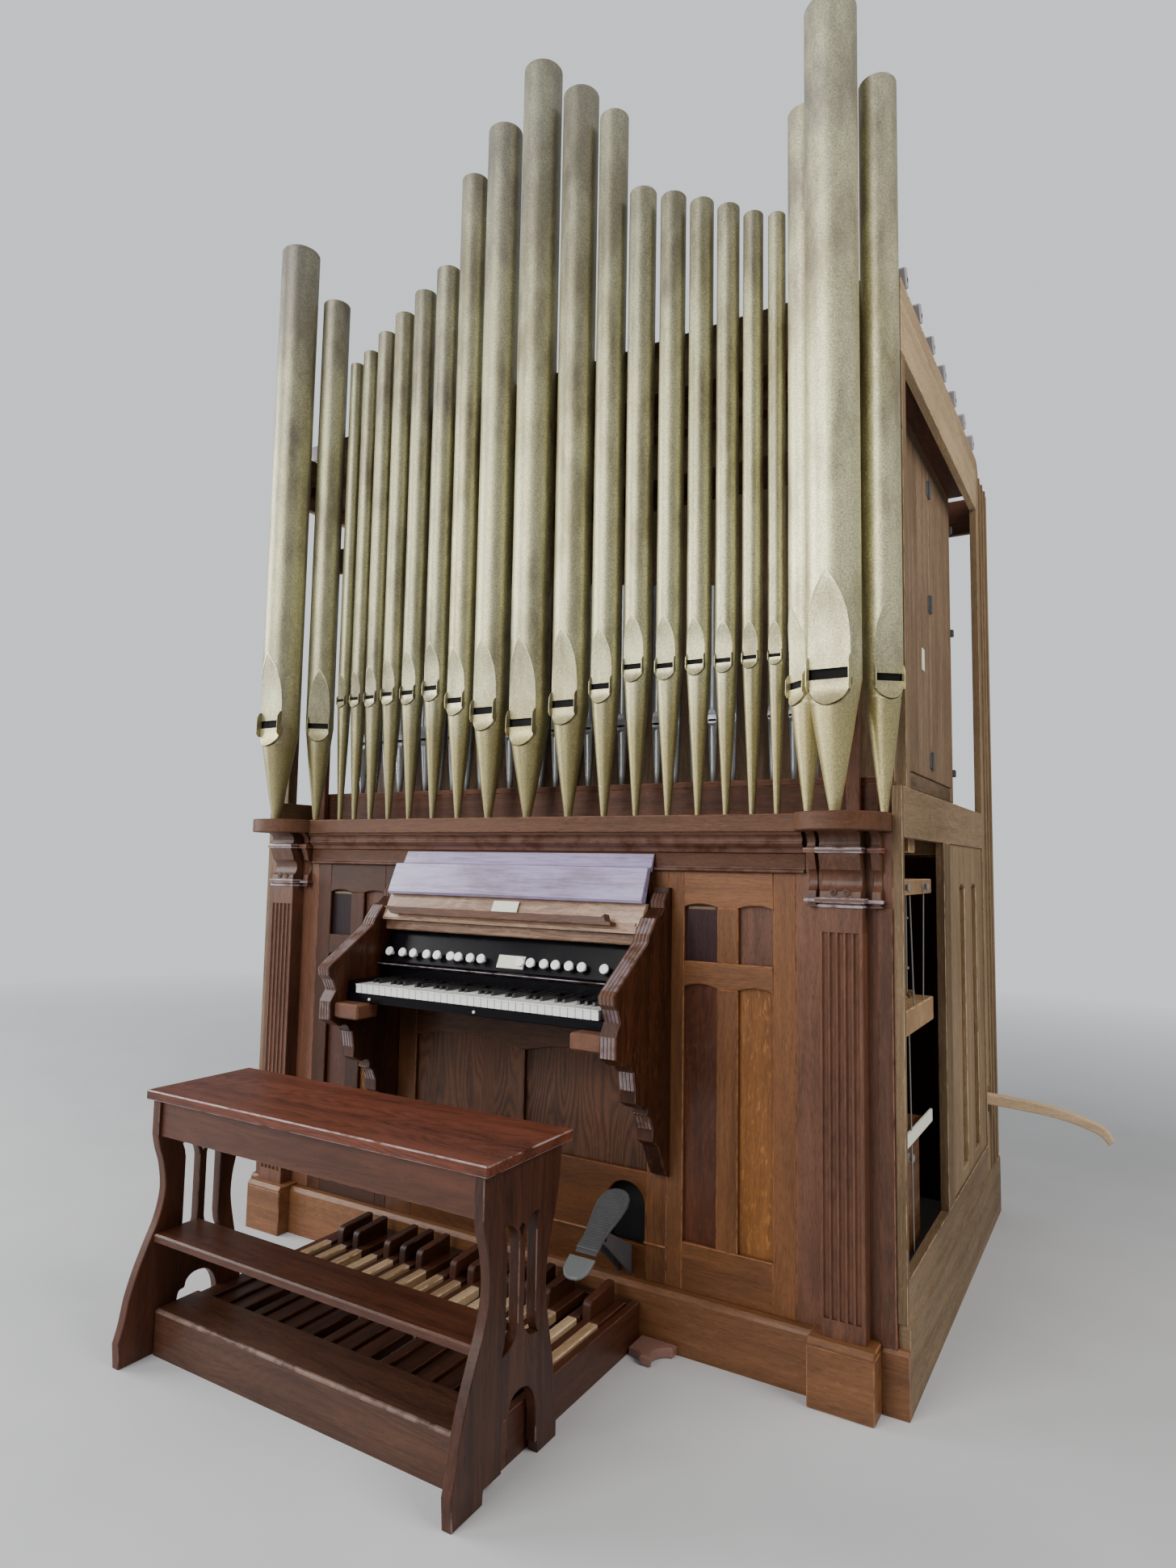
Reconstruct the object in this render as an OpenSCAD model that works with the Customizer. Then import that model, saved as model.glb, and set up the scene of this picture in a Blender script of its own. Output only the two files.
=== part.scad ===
// Small church pipe organ: panelled oak case with a one-manual key desk, show pipes on a ledge,
// a swell box behind them, a pedalboard and a bench. Millimetres, X right, Y back, Z up.
// The origin is on the floor at the middle of the case's front face.

/* [Case] */
// Width of the case over its side walls
case_w = 2246; // [2100:2:2500]
// Depth of the case from the face of its front boards to its back
case_d = 1560; // [1400:5:1800]
// Height of the top of the ledge that the show pipes stand on
ledge_z = 1397; // [1340:1:1460]
// Height of the top of the case's upper frame
case_h = 2740; // [2600:5:2900]
// Thickness of the side and back walls
wall_t = 24; // [18:1:32]
// Thickness of the front's framing boards
frame_t = 14; // [10:1:20]
// Thickness of the panels behind the framing
panel_t = 12; // [8:1:18]
// Height of the front plinth
plinth_h = 150; // [120:1:180]
// Height of the side and back plinths
side_plinth_h = 208; // [180:1:240]
// How far the front plinth stands out from the case
plinth_out = 31; // [20:1:45]
// How far the side plinths stand out from the side walls
side_proud = 4; // [2:1:8]

/* [Front] */
// Width of the pilaster's backing, at each end of the front
pilaster_back_w = 241; // [220:1:260]
// Width of a pilaster's fluted shaft
shaft_w = 107; // [90:1:120]
// How far a shaft stands out from the front
shaft_out = 50; // [40:1:60]
// Height of the bottom of the frieze
frieze_z = 1246; // [1210:1:1270]
// Width of a tall or short panel opening in the side bays
opening_w = 96; // [80:1:110]
// Thickness of the ledge
ledge_t = 45; // [35:1:55]
// How far the ledge's straight part stands out
ledge_out = 41; // [36:1:60]
// Radius of the ledge's bow below each pipe tower
tower_r = 115; // [100:1:125]

/* [Show pipes] */
// Thickness of a pipe's metal
metal_t = 2; // [1.5:0.5:3]
// Distance of the row of show pipes behind the case's front face
row_y = 28; // [20:1:45]
// Height of a flat pipe's mouth
mouth_z = 1817; // [1780:1:1850]

/* [Key desk] */
// Width of one natural key with its gap
key_pitch = 23.5; // [23:0.1:24]
// Height of the keys' top
key_z = 891; // [860:1:920]
// How far the keys' front edge stands out from the case's front
key_out = 245; // [230:1:265]
// Thickness of the desk's side cheeks
cheek_t = 48; // [35:1:55]
// Height of the row of stop knobs above the keys' top
knob_up = 79; // [70:1:94]

/* [Pedals] */
// Distance between the middles of two natural pedals
pedal_pitch = 62.2; // [60:0.1:64]
// Width of a natural pedal
pedal_w = 29; // [24:1:32]
// Height of the natural pedals' top
pedal_z = 110; // [100:1:125]
// Distance from the middle of an outer pedal to the outside of the pedalboard
pedal_side = 40.5; // [36:0.5:50]
// Depth of the heel box
heel_d = 125; // [100:1:150]
// How far the heel box's front face stands out from the case's front
heel_out = 755; // [720:1:800]

/* [Swell shoe] */
// Length of the shoe's plate
shoe_l = 290; // [260:1:320]
// Width of the shoe's plate
shoe_w = 92; // [80:1:104]
// Slope of the shoe at rest
shoe_slope = 30; // [24:1:36]

/* [Bench] */
// Height of the bench seat's top
seat_z = 657; // [620:1:700]
// Thickness of the seat board
seat_t = 24; // [18:1:30]
// Thickness of the bench's ends
bench_end_t = 26; // [20:1:28]
// Height of the apron below the seat
apron_h = 92; // [70:1:110]

/* [Pump lever] */
// Height of the pump lever's pivot
pump_z = 462; // [440:1:500]
// Length of the lever outside the case
pump_reach = 390; // [330:5:430]

/* [Hidden] */
$fn = 48;
eps = 1;
side_x = case_w / 2;
rear_y = case_d;
oak = [0.29, 0.15, 0.08];
light_oak = [0.45, 0.27, 0.13];
faded_oak = [0.47, 0.39, 0.29];
pine = [0.72, 0.52, 0.30];
bronze = [0.47, 0.42, 0.27];
zinc = [0.62, 0.62, 0.64];

// Mirrors its children to both sides of the middle plane
module both_sides() {
    children();
    mirror([1, 0, 0]) children();
}

// A board between two opposite corners
module board(a, b) {
    translate(a) cube(b - a);
}

// A flat outline in Y and Z, given a width along X
module across(x0, x1) {
    translate([x0, 0, 0]) rotate([90, 0, 90]) linear_extrude(x1 - x0) children();
}

// A flat outline in X and Z, given a depth along Y
module along(y0, y1) {
    translate([0, y1, 0]) rotate([90, 0, 0]) linear_extrude(y1 - y0) children();
}

// An opening's outline with a low arch at its top
module arched(x0, x1, z0, z1, rise) {
    w = x1 - x0;
    r = (w * w / 4 + rise * rise) / (2 * rise);
    translate([x0, z0]) square([w, z1 - rise - z0]);
    intersection() {
        translate([x0, z0]) square([w, z1 - z0]);
        translate([(x0 + x1) / 2, z1 - r]) circle(r);
    }
}

// An opening's outline with a full half-round top
module round_topped(x_mid, w, z0, z1) {
    translate([x_mid - w / 2, z0]) square([w, z1 - z0 - w / 2]);
    translate([x_mid, z1 - w / 2]) circle(w / 2);
}

// Plinth
block_x0 = side_x - 218;
block_x1 = side_x - 59;
block_out = 77;
plinth_back = 9;
chamfer = 9;

module plinth_profile(out, back, h) {
    polygon([[back, 0], [-out, 0], [-out, h - chamfer], [-out + chamfer, h], [back, h]]);
}

module front_plinth() {
    color(oak) {
        across(-block_x1, block_x1) plinth_profile(plinth_out, plinth_back, plinth_h);
        both_sides() {
            across(block_x0, block_x1) plinth_profile(block_out, 0, plinth_h + 8);
            across(block_x1, side_x + side_proud) plinth_profile(plinth_back, plinth_back, plinth_h);
        }
    }
}

module side_plinths() {
    color(faded_oak) both_sides() translate([side_x, 0, 0])
        along(plinth_back, rear_y)
        polygon([[-wall_t, 0], [side_proud, 0], [side_proud, side_plinth_h - 14],
                 [-6, side_plinth_h], [-wall_t, side_plinth_h]]);
}

module back_plinth() {
    color(oak) board([-side_x + wall_t, rear_y - wall_t, 0], [side_x - wall_t, rear_y, side_plinth_h]);
}

// Side walls
mid_rail_z0 = ledge_z - 52;
mid_rail_z1 = ledge_z + 68;
top_rail_h = 140;
fascia_h = 60;
front_stile = 20;
upper_y0 = 58;
upper_stile = 42;
rear_stile_y = rear_y - 270;
bay_split_y0 = rear_stile_y - 750;
bay_split_y1 = rear_stile_y - 650;
low_rail_h = 92;
bay_top_z = mid_rail_z0 - 5;
lever_y = rear_stile_y + 30;
lever_t = 30;
lever_h = 38;
slot_side = 6;
slot_below = 53;
slot_above = 37;

module side_outline(slot) {
    difference() {
        union() {
            translate([0, side_plinth_h]) square([rear_y, case_h - side_plinth_h]);
            translate([upper_y0, case_h - eps]) square([rear_stile_y - upper_y0, fascia_h + eps]);
            intersection() {
                translate([rear_stile_y - eps, case_h - eps]) square([fascia_h + eps, fascia_h + eps]);
                translate([rear_stile_y, case_h]) circle(fascia_h);
            }
        }
        translate([front_stile, side_plinth_h + low_rail_h])
            square([bay_split_y0 - front_stile, bay_top_z - side_plinth_h - low_rail_h]);
        translate([bay_split_y1, side_plinth_h + low_rail_h])
            square([rear_stile_y - bay_split_y1, bay_top_z - side_plinth_h - low_rail_h]);
        translate([upper_y0 + upper_stile, mid_rail_z1])
            square([rear_stile_y - upper_y0 - upper_stile, case_h - top_rail_h - mid_rail_z1]);
        translate([-eps, mid_rail_z1]) square([upper_y0 + eps, case_h - mid_rail_z1 + eps]);
        for (i = [0:shade_count - 1]) translate([shade_y0 + i * shade_pitch, shade_z]) {
            circle(shade_pin_r + pin_play);
            translate([-shade_pin_r - pin_play, 0]) square([2 * (shade_pin_r + pin_play), fascia_h]);
        }
        if (slot) translate([lever_y - lever_t / 2 - slot_side, pump_z - slot_below])
            square([lever_t + 2 * slot_side, slot_below + slot_above]);
    }
}

// One side wall's frame, with the curved shoulder of its rear post and the fascia on top
module side_frame(slot) {
    across(side_x - wall_t, side_x) side_outline(slot);
    for (y = [rear_stile_y + 60, rear_stile_y + 130, rear_stile_y + 200])
        translate([side_x - 1, y, side_plinth_h]) cylinder(r = 7, h = case_h - side_plinth_h);
}

module side_frame_right() {
    color(faded_oak) side_frame(true);
}

module side_frame_left() {
    color(faded_oak) mirror([1, 0, 0]) side_frame(false);
}

// A panel that closes a lower bay, with two narrow arched recesses
module side_panel(y0, y1) {
    z0 = side_plinth_h + low_rail_h;
    z1 = bay_top_z;
    recess_w = (y1 - y0) * 0.15;
    across(side_x - wall_t + 4, side_x - 6) difference() {
        translate([y0, z0]) square([y1 - y0, z1 - z0]);
        for (k = [0.36, 0.72]) translate([y0 + (y1 - y0) * k, 0])
            arched(-recess_w / 2, recess_w / 2, z0 + 40, z1 - 110, 14);
    }
    across(side_x - wall_t, side_x - wall_t + 4)
        translate([y0, z0]) square([y1 - y0, z1 - z0]);
}

module side_panels() {
    color(faded_oak) {
        side_panel(bay_split_y1, rear_stile_y);
        mirror([1, 0, 0]) {
            side_panel(bay_split_y1, rear_stile_y);
            side_panel(front_stile, bay_split_y0);
        }
    }
}

// Back
back_stile = 100;
upper_back_stile = 26;
back_in = side_x - wall_t;

module back_frame() {
    color(oak) along(rear_y - wall_t, rear_y) difference() {
        translate([-back_in, side_plinth_h]) square([2 * back_in, case_h - side_plinth_h]);
        for (s = [-1, 0]) translate([s == 0 ? back_stile / 2 : -back_in + back_stile, side_plinth_h + low_rail_h])
            square([back_in - 1.5 * back_stile, bay_top_z - side_plinth_h - low_rail_h]);
        translate([-back_in + upper_back_stile, mid_rail_z1])
            square([2 * (back_in - upper_back_stile), case_h - top_rail_h - mid_rail_z1]);
    }
}

module back_panels() {
    color(oak) both_sides() board([back_stile / 2, rear_y - wall_t + 6, side_plinth_h + low_rail_h],
        [back_in - back_stile, rear_y - 6, bay_top_z]);
}

// Front framing. Bay openings come as [middle, bottom, top, rise of the arch], those of the middle
// front as [middle, half width, bottom, top, rise].
pilaster_x = side_x - wall_t - pilaster_back_w;

// The key desk sets the width of the middle front: its cheeks lap over the outer edges
naturals = 36;
keys_w = naturals * key_pitch;
key_block_w = 38.5;
cheek_x0 = keys_w / 2 + key_block_w;
cheek_x1 = cheek_x0 + cheek_t;
cheek_lap = 9.5;
knee_x = cheek_x1 - cheek_lap;

bay_mid = (knee_x + 45 + pilaster_x - 60) / 2;
mullion = 60;
tall_z0 = plinth_h + 122;
tall_z1 = frieze_z - 301;
small_z0 = frieze_z - 241;
small_z1 = frieze_z - 88;
bay_openings = [
    for (s = [-1, 1]) [bay_mid + s * (opening_w + mullion) / 2, tall_z0, tall_z1, 9],
    for (s = [-1, 1]) [bay_mid + s * (opening_w + mullion) / 2, small_z0, small_z1, 8]];
knee_open_z0 = plinth_h + 280;
knee_open_z1 = plinth_h + 585;
knee_openings = [for (x = [-185, 235]) [x, 205, knee_open_z0, knee_open_z1, 26]];
shoe_x = 376;
shoe_z = plinth_h + 142;
shoe_slot_w = 118;
shoe_slot_z0 = shoe_z - 55;
shoe_slot_z1 = shoe_z + 104;

module front_bay() {
    along(0, frame_t) difference() {
        translate([knee_x, plinth_h]) square([pilaster_x - knee_x, frieze_z - plinth_h]);
        for (o = bay_openings)
            arched(o[0] - opening_w / 2, o[0] + opening_w / 2, o[1], o[2], o[3]);
    }
}

module front_bays() {
    color(light_oak) both_sides() front_bay();
}

module knee_frame() {
    color(light_oak) along(0, frame_t) difference() {
        translate([-knee_x, plinth_h]) square([2 * knee_x, frieze_z - plinth_h]);
        for (o = knee_openings) arched(o[0] - o[1], o[0] + o[1], o[2], o[3], o[4]);
        round_topped(shoe_x, shoe_slot_w, shoe_slot_z0, shoe_slot_z1);
    }
}

// The panels lie against the back of the framing and lap it all round
module front_panels() {
    lap = 12;
    color(light_oak) {
        both_sides() for (o = bay_openings)
            board([o[0] - opening_w / 2 - lap, frame_t, o[1] - lap],
                [o[0] + opening_w / 2 + lap, frame_t + panel_t, o[2] + lap]);
        for (o = knee_openings)
            board([o[0] - o[1] - lap / 2, frame_t, o[2] - lap], [o[0] + o[1] + lap / 2, frame_t + panel_t, o[3] + lap]);
    }
}

// Pilasters: backing board, fluted shaft and the narrow strip beside it
shaft_mid = side_x - 138;
flutes = 5;
shaft_z1 = frieze_z - 81;
flute_r = 7;

module pilaster() {
    across(pilaster_x, side_x - wall_t)
        translate([0, plinth_h]) square([frame_t, frieze_z + 106 - plinth_h]);
    translate([shaft_mid, 0, 0]) difference() {
        board([-shaft_w / 2, -shaft_out, plinth_h + 8], [shaft_w / 2, 0, shaft_z1]);
        for (i = [0:flutes - 1])
            translate([(i - (flutes - 1) / 2) * shaft_w / (flutes + 0.6), -shaft_out - 2, plinth_h + 50])
                cylinder(r = flute_r, h = shaft_z1 - plinth_h - 110);
    }
    board([block_x1, -9, plinth_h], [side_x - wall_t, 0, shaft_z1]);
}

module pilasters() {
    color(oak) both_sides() pilaster();
}

// Capitals: a bracket with a hollow bell between two mouldings, and two consoles beside it
ledge_z0 = ledge_z - ledge_t;
cap_z0 = shaft_z1;

module capital_profile(out) {
    difference() {
        polygon([[0, cap_z0], [-out + 8, cap_z0], [-out + 8, cap_z0 + 8], [-out, cap_z0 + 10],
                 [-out, cap_z0 + 24], [-out + 12, cap_z0 + 26], [-out + 12, cap_z0 + 60],
                 [-out - 18, cap_z0 + 132], [-out - 18, cap_z0 + 147], [-out - 8, cap_z0 + 150],
                 [-out - 34, ledge_z0], [0, ledge_z0]]);
        translate([-out - 34, cap_z0 + 66]) circle(30);
    }
}

module capital() {
    across(shaft_mid - shaft_w / 2, shaft_mid + shaft_w / 2) capital_profile(shaft_out + 10);
    for (s = [-1, 1]) translate([shaft_mid + s * (shaft_w / 2 + 26), 0, 0])
        across(-15, 15) capital_profile(shaft_out - 22);
}

module capitals() {
    color(oak) both_sides() capital();
}

// Frieze board with a bead below it and hollow mouldings up to the ledge
frieze_x = side_x - 240;

module frieze() {
    color(oak) {
        board([-pilaster_x, 0, frieze_z], [pilaster_x, frame_t, ledge_z0]);
        across(-frieze_x, frieze_x)
            polygon([[0, frieze_z], [-10, frieze_z], [-14, frieze_z + 4], [-10, frieze_z + 9],
                     [-4, frieze_z + 13], [-4, frieze_z + 50], [-10, frieze_z + 54], [-22, frieze_z + 72],
                     [-26, frieze_z + 74], [-26, frieze_z + 81], [-20, frieze_z + 84], [-34, ledge_z0],
                     [0, ledge_z0]]);
    }
}

// Ledge with a half-round bow below each tower of three pipes
ledge_back = 130;

module impost_ledge() {
    color(oak) translate([0, 0, ledge_z0]) linear_extrude(ledge_t) {
        translate([-side_x + wall_t, -ledge_out]) square([2 * (side_x - wall_t), ledge_out + ledge_back]);
        for (s = [-1, 1]) translate([s * shaft_mid, -ledge_out]) circle(tower_r);
    }
}

// Wind chest behind the ledge, and the beams that carry it and the swell box
chest_h = 105;
chest_y0 = ledge_back;
chest_y1 = rear_y - wall_t - 180;
box_y0 = 330;
box_y1 = rear_stile_y - 40;
box_x = side_x - 90;
box_t = 22;
box_z0 = ledge_z + chest_h;
box_z1 = case_h - 90;

module wind_chest() {
    color(light_oak) board([-box_x, chest_y0, ledge_z], [box_x, chest_y1, ledge_z + chest_h]);
}

module chest_beams() {
    color(pine) for (y = [chest_y0 + 60, (chest_y0 + chest_y1) / 2 - 120, chest_y1 - 150])
        board([-side_x + wall_t, y, ledge_z - 92], [side_x - wall_t, y + 70, ledge_z]);
}

// Swell box: board walls, with the right wall's door opening filled by two hinged doors
door_y0 = box_y0 + 130;
door_y1 = box_y1 - 60;
door_z0 = box_z0 + 50;
door_z1 = box_z1 - 60;

module box_side(cut) {
    across(box_x - box_t, box_x) difference() {
        translate([box_y0, box_z0]) square([box_y1 - box_y0, box_z1 - box_z0]);
        if (cut) translate([door_y0, door_z0]) square([door_y1 - door_y0, door_z1 - door_z0]);
    }
}

module swell_box_walls() {
    color(faded_oak) {
        box_side(true);
        mirror([1, 0, 0]) box_side(false);
        for (y = [box_y0, box_y1 - box_t])
            board([-box_x + box_t, y, box_z0], [box_x - box_t, y + box_t, box_z1]);
    }
}

module swell_box_doors() {
    gap = 2;
    door_mid = (door_y0 + door_y1) / 2;
    color(faded_oak) {
        board([box_x - box_t + 4, door_y0 + gap, door_z0], [box_x + 6, door_mid - gap, door_z1 - gap]);
        board([box_x - box_t + 4, door_mid + gap, door_z0], [box_x + 6, door_y1 - gap, door_z1 - gap]);
    }
}

// Roof of the swell box: a frame between the case's sides with slots that the shades close
shade_count = 7;
shade_y0 = 150;
shade_pitch = (rear_stile_y - shade_y0 - 30) / (shade_count - 1);
shade_t = 22;
roof_z = box_z1;

module swell_box_roof() {
    color(oak) difference() {
        board([-side_x + wall_t, rack_y, roof_z], [side_x - wall_t, box_y1 + 20, roof_z + 40]);
        for (i = [0:shade_count - 1])
            board([-box_x + 80, shade_y0 + i * shade_pitch + 30, roof_z - eps],
                [box_x - 80, shade_y0 + i * shade_pitch + 130, roof_z + 40 + eps]);
    }
}

// Open shades above the roof, tilted, with pins at their ends that drop into the fascias' notches.
// The upper half of each end reaches out over the fascia.
shade_z = case_h + fascia_h - 12;
shade_w = 160;
shade_tilt = 28;
shade_pin_r = 5;
pin_play = 0.2;
shade_x = side_x - wall_t - 3;
tip_z0 = 26;
tip_x = side_x + 3;

module roof_shades() {
    color(faded_oak) for (i = [0:shade_count - 1])
        translate([0, shade_y0 + i * shade_pitch, shade_z]) rotate([shade_tilt, 0, 0]) {
            board([-shade_x, -shade_t / 2, -shade_w / 2], [shade_x, shade_t / 2, shade_w / 2]);
            board([-tip_x, -shade_t / 2, tip_z0], [tip_x, shade_t / 2, shade_w / 2]);
            rotate([0, 90, 0]) cylinder(r = shade_pin_r, h = 2 * side_x - 6, center = true);
        }
}

// Show pipes. Radii and gaps run from the middle pipe outward; tops and leaf heights follow.
show_r = [63, 57, 45, 41, 38, 35, 32, 28, 24];
show_gap = [29, 21, 19, 23, 19, 16, 15, 17];
show_top = [3850, 3700, 3577, 3287, 3235, 3184, 3138, 3090, 3064];
show_mouth = [-141, -92, -46, 4, -2, 1, -2, 0, 0];
show_leaf = [280, 240, 180, 160, 150, 130, 115, 105, 100];
tower_side_r = 48;
tower_mid_r = 67;
tower_side_dx = 96;
tower_mid_y = -92;
tower_side_y = 2;
slot_k = 0.75;

function show_x(i) = i == 0 ? 0 : show_x(i - 1) + show_r[i - 1] + show_r[i] + show_gap[i - 1];
function flat_depth(r) = r * sqrt(1 - slot_k * slot_k);

// Outline of a pipe at one offset inside its skin, with its lips flattened above and below the mouth
module pipe_form(r, mouth, top, leaf, inset) {
    lip = 1.1 * r;
    tip = max(8, 0.2 * r);
    difference() {
        union() {
            translate([0, 0, mouth]) cylinder(r = r - inset, h = top - mouth + (inset > 0 ? eps : 0));
            translate([0, 0, ledge_z + inset]) cylinder(r1 = tip - inset, r2 = r - inset, h = mouth - ledge_z - inset);
        }
        across(-2 * r, 2 * r) polygon([[-flat_depth(r) + inset, mouth - eps],
            [-r + inset, mouth + leaf], [-3 * r, mouth + leaf], [-3 * r, mouth - eps]]);
        across(-2 * r, 2 * r) polygon([[-flat_depth(r) + inset, mouth],
            [-r * (1 - lip / (mouth - ledge_z)) + inset, mouth - lip], [-3 * r, mouth - lip], [-3 * r, mouth]]);
    }
}

// One show pipe standing on the ledge: hollow body, foot, mouth slot, languid and ears
module show_pipe(r, mouth, top, leaf) {
    slot_h = 0.34 * r;
    difference() {
        pipe_form(r, mouth, top, leaf, 0);
        pipe_form(r, mouth, top, leaf, metal_t);
        board([-slot_k * r, -r - eps, mouth], [slot_k * r, -r * 0.3, mouth + slot_h]);
    }
    difference() {
        translate([0, 0, mouth - 3]) cylinder(r = r - metal_t + 0.5, h = 3);
        board([-r, -r, mouth - 3 - eps], [r, -flat_depth(r) + 4, mouth + eps]);
    }
    for (s = [-1, 1]) board([s * slot_k * r - 1.5, -r * 1.12, mouth - 0.35 * r],
        [s * slot_k * r + 1.5, -flat_depth(r) + 3, mouth + 0.7 * r]);
}

module flat_pipe(i) {
    translate([show_x(i), row_y, 0])
        show_pipe(show_r[i], mouth_z + show_mouth[i], show_top[i], show_leaf[i]);
}

module centre_pipes() {
    color(bronze) {
        flat_pipe(0);
        both_sides() for (i = [1:2]) flat_pipe(i);
    }
}

module flat_pipes_right() {
    color(bronze) for (i = [3:8]) flat_pipe(i);
}

module flat_pipes_left() {
    color(bronze) mirror([1, 0, 0]) for (i = [3:8]) flat_pipe(i);
}

module tower_pipes() {
    translate([shaft_mid, tower_mid_y, 0]) show_pipe(tower_mid_r, mouth_z - 103, 3481, 265);
    for (s = [-1, 1]) translate([shaft_mid + s * tower_side_dx, tower_side_y, 0]) rotate([0, 0, s * 38])
        show_pipe(tower_side_r, mouth_z - 97, 3305, 210);
}

module tower_pipes_right() {
    color(bronze) tower_pipes();
}

module tower_pipes_left() {
    color(bronze) mirror([1, 0, 0]) tower_pipes();
}

// Rack rail behind the show pipes, carried by posts that stand on the ledge
rack_y = row_y + show_r[0] + 12;
rack_z = case_h - 410;
rack_x = side_x - 120;

module pipe_rack() {
    color(oak) {
        board([-rack_x, rack_y, rack_z], [rack_x, rack_y + 22, rack_z + 90]);
        both_sides() board([rack_x - 45, rack_y, ledge_z], [rack_x - 10, rack_y + 22, rack_z]);
    }
}

// Metal pipes of the first rank, standing on the chest behind the show pipes
rank_count = 30;
rank_pitch = 62;
rank_y = 235;

module rank_pipes() {
    color(zinc) for (i = [0:rank_count - 1]) {
        r = 25 - 0.35 * i;
        translate([-rank_pitch * (rank_count - 1) / 2 + i * rank_pitch, rank_y, ledge_z + chest_h])
        difference() {
            union() {
                cylinder(r1 = 8, r2 = r, h = 190);
                translate([0, 0, 190]) cylinder(r = r, h = 620 - 9 * i);
            }
            translate([-r, -r - eps, 190]) cube([2 * r, r * 0.5, 9]);
        }
    }
}

// Key action seen through the open lower bay: a pine beam, two rails and the wires between them
action_x = side_x - wall_t;
wire_ys = [90, 150, 330, 420];
wire_z0 = key_z + 14;
wire_z1 = ledge_z - 202;

module action_rails() {
    color(pine) {
        board([-action_x, 60, wire_z0 - 65], [action_x, 480, wire_z0]);
        board([-action_x, 70, wire_z1], [action_x, 470, wire_z1 + 40]);
        board([-action_x, 60, 300], [action_x, 100, 560]);
    }
}

module tracker_wires() {
    color(zinc) both_sides() for (y = wire_ys) {
        translate([action_x - 60, y, wire_z0]) cylinder(r = 2.5, h = wire_z1 - wire_z0);
    }
}

// Key desk
bed_z1 = key_z - 27;
bed_t = 27;

// Side cheek with a sloped arm, a scrolled shoulder and a stepped bracket below
module cheek_outline() {
    arm = -key_out;
    translate([0, key_z]) difference() {
        polygon([[0, 309], [0, -461], [-22, -451], [-48, -411], [-70, -366], [-103, -346], [-103, -314],
                 [-118, -281], [-160, -251], [-203, -229], [-203, -198], [-212, -151],
                 [arm - 31, -121], [arm - 61, -104], [arm - 61, -51], [arm - 39, -19],
                 [arm - 55, 14], [arm - 70, 27], [arm - 73, 47], [arm - 60, 59],
                 [jamb_y - 43, 169], [jamb_y - 33, 189], [jamb_y - 1, 228], [-70, 235],
                 [-46, 255], [-46, 273], [-30, 293], [-22, 295], [-22, 309]]);
        translate([arm - 3, -149]) circle(24);
        translate([-152, -263]) circle(20);
    }
}

module key_cheeks() {
    color(oak) both_sides() across(cheek_x0, cheek_x1) cheek_outline();
}

// Bed below the keys with its slip along the front, and the two end blocks
module key_bed() {
    color(oak) {
        board([-cheek_x0, -key_out + 4, bed_z1 - bed_t], [cheek_x0, 0, bed_z1]);
        both_sides() board([cheek_x0 - 96, -key_out - 47, bed_z1 - bed_t - 44],
            [cheek_x0, -key_out + 40, bed_z1 - bed_t]);
    }
}

// Natural keys. The octave starts at C, so E and B have no sharp on their right.
head_l = 50;
key_l = 150;
sharp_w = 10.5;
key_gap = 1;

function sharp_after(i) = (i % 7 != 2) && (i % 7 != 6) && (i < naturals - 1);
function sharp_before(i) = i > 0 && sharp_after(i - 1);

module natural_keys() {
    color([0.93, 0.91, 0.84]) for (i = [0:naturals - 1]) translate([i * key_pitch - keys_w / 2, 0, bed_z1]) {
        left = sharp_before(i) ? sharp_w / 2 + key_gap : key_gap / 2;
        right = key_pitch - (sharp_after(i) ? sharp_w / 2 + key_gap : key_gap / 2);
        board([key_gap / 2, -key_out, 0], [key_pitch - key_gap / 2, -key_out + head_l, key_z - bed_z1]);
        board([left, -key_out + head_l, 0], [right, -key_out + key_l, key_z - bed_z1]);
    }
}

module sharp_keys() {
    sharp_h = key_z - bed_z1 + 11;
    color([0.06, 0.05, 0.05]) for (i = [0:naturals - 2]) if (sharp_after(i))
        translate([(i + 1) * key_pitch - keys_w / 2, 0, bed_z1]) across(-sharp_w / 2, sharp_w / 2)
            polygon([[-key_out + head_l + key_gap, 0], [-key_out + key_l, 0], [-key_out + key_l, sharp_h],
                     [-key_out + head_l + key_gap + 6, sharp_h]]);
}

// Black jamb behind the keys with its step, and the row of stop knobs
jamb_y = -key_out + key_l;
jamb_z0 = key_z + 54;
jamb_z1 = key_z + 152;
jamb_run = 44;
jamb_slope = atan(jamb_run / (jamb_z1 - jamb_z0));

module stop_jamb() {
    color([0.05, 0.05, 0.06]) {
        across(-cheek_x0, cheek_x0)
            polygon([[0, bed_z1], [jamb_y + key_gap, bed_z1], [jamb_y + key_gap, key_z + 38],
                     [jamb_y - 17, key_z + 42], [jamb_y - 17, key_z + 50], [jamb_y, jamb_z0],
                     [jamb_y + jamb_run, jamb_z1], [0, jamb_z1]]);
        both_sides() board([keys_w / 2 + key_gap, -key_out + 8, bed_z1], [cheek_x0, jamb_y + 2, key_z + 6]);
    }
}

knob_r = 14;
knob_out = 22;
knob_xs = [-425, -372, -328, -275, -233, -180, -151, -106, -65, 76, 111, 157, 196, 241, 282, 354];

module stop_knobs() {
    color([0.9, 0.88, 0.82]) for (x = knob_xs)
        translate([x, jamb_y + (key_z + knob_up - jamb_z0) * tan(jamb_slope), key_z + knob_up])
        rotate([90 - jamb_slope, 0, 0]) {
            cylinder(r = knob_r * 0.45, h = knob_out - 8);
            translate([0, 0, knob_out - 8]) cylinder(r = knob_r, h = 8);
        }
}

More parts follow.
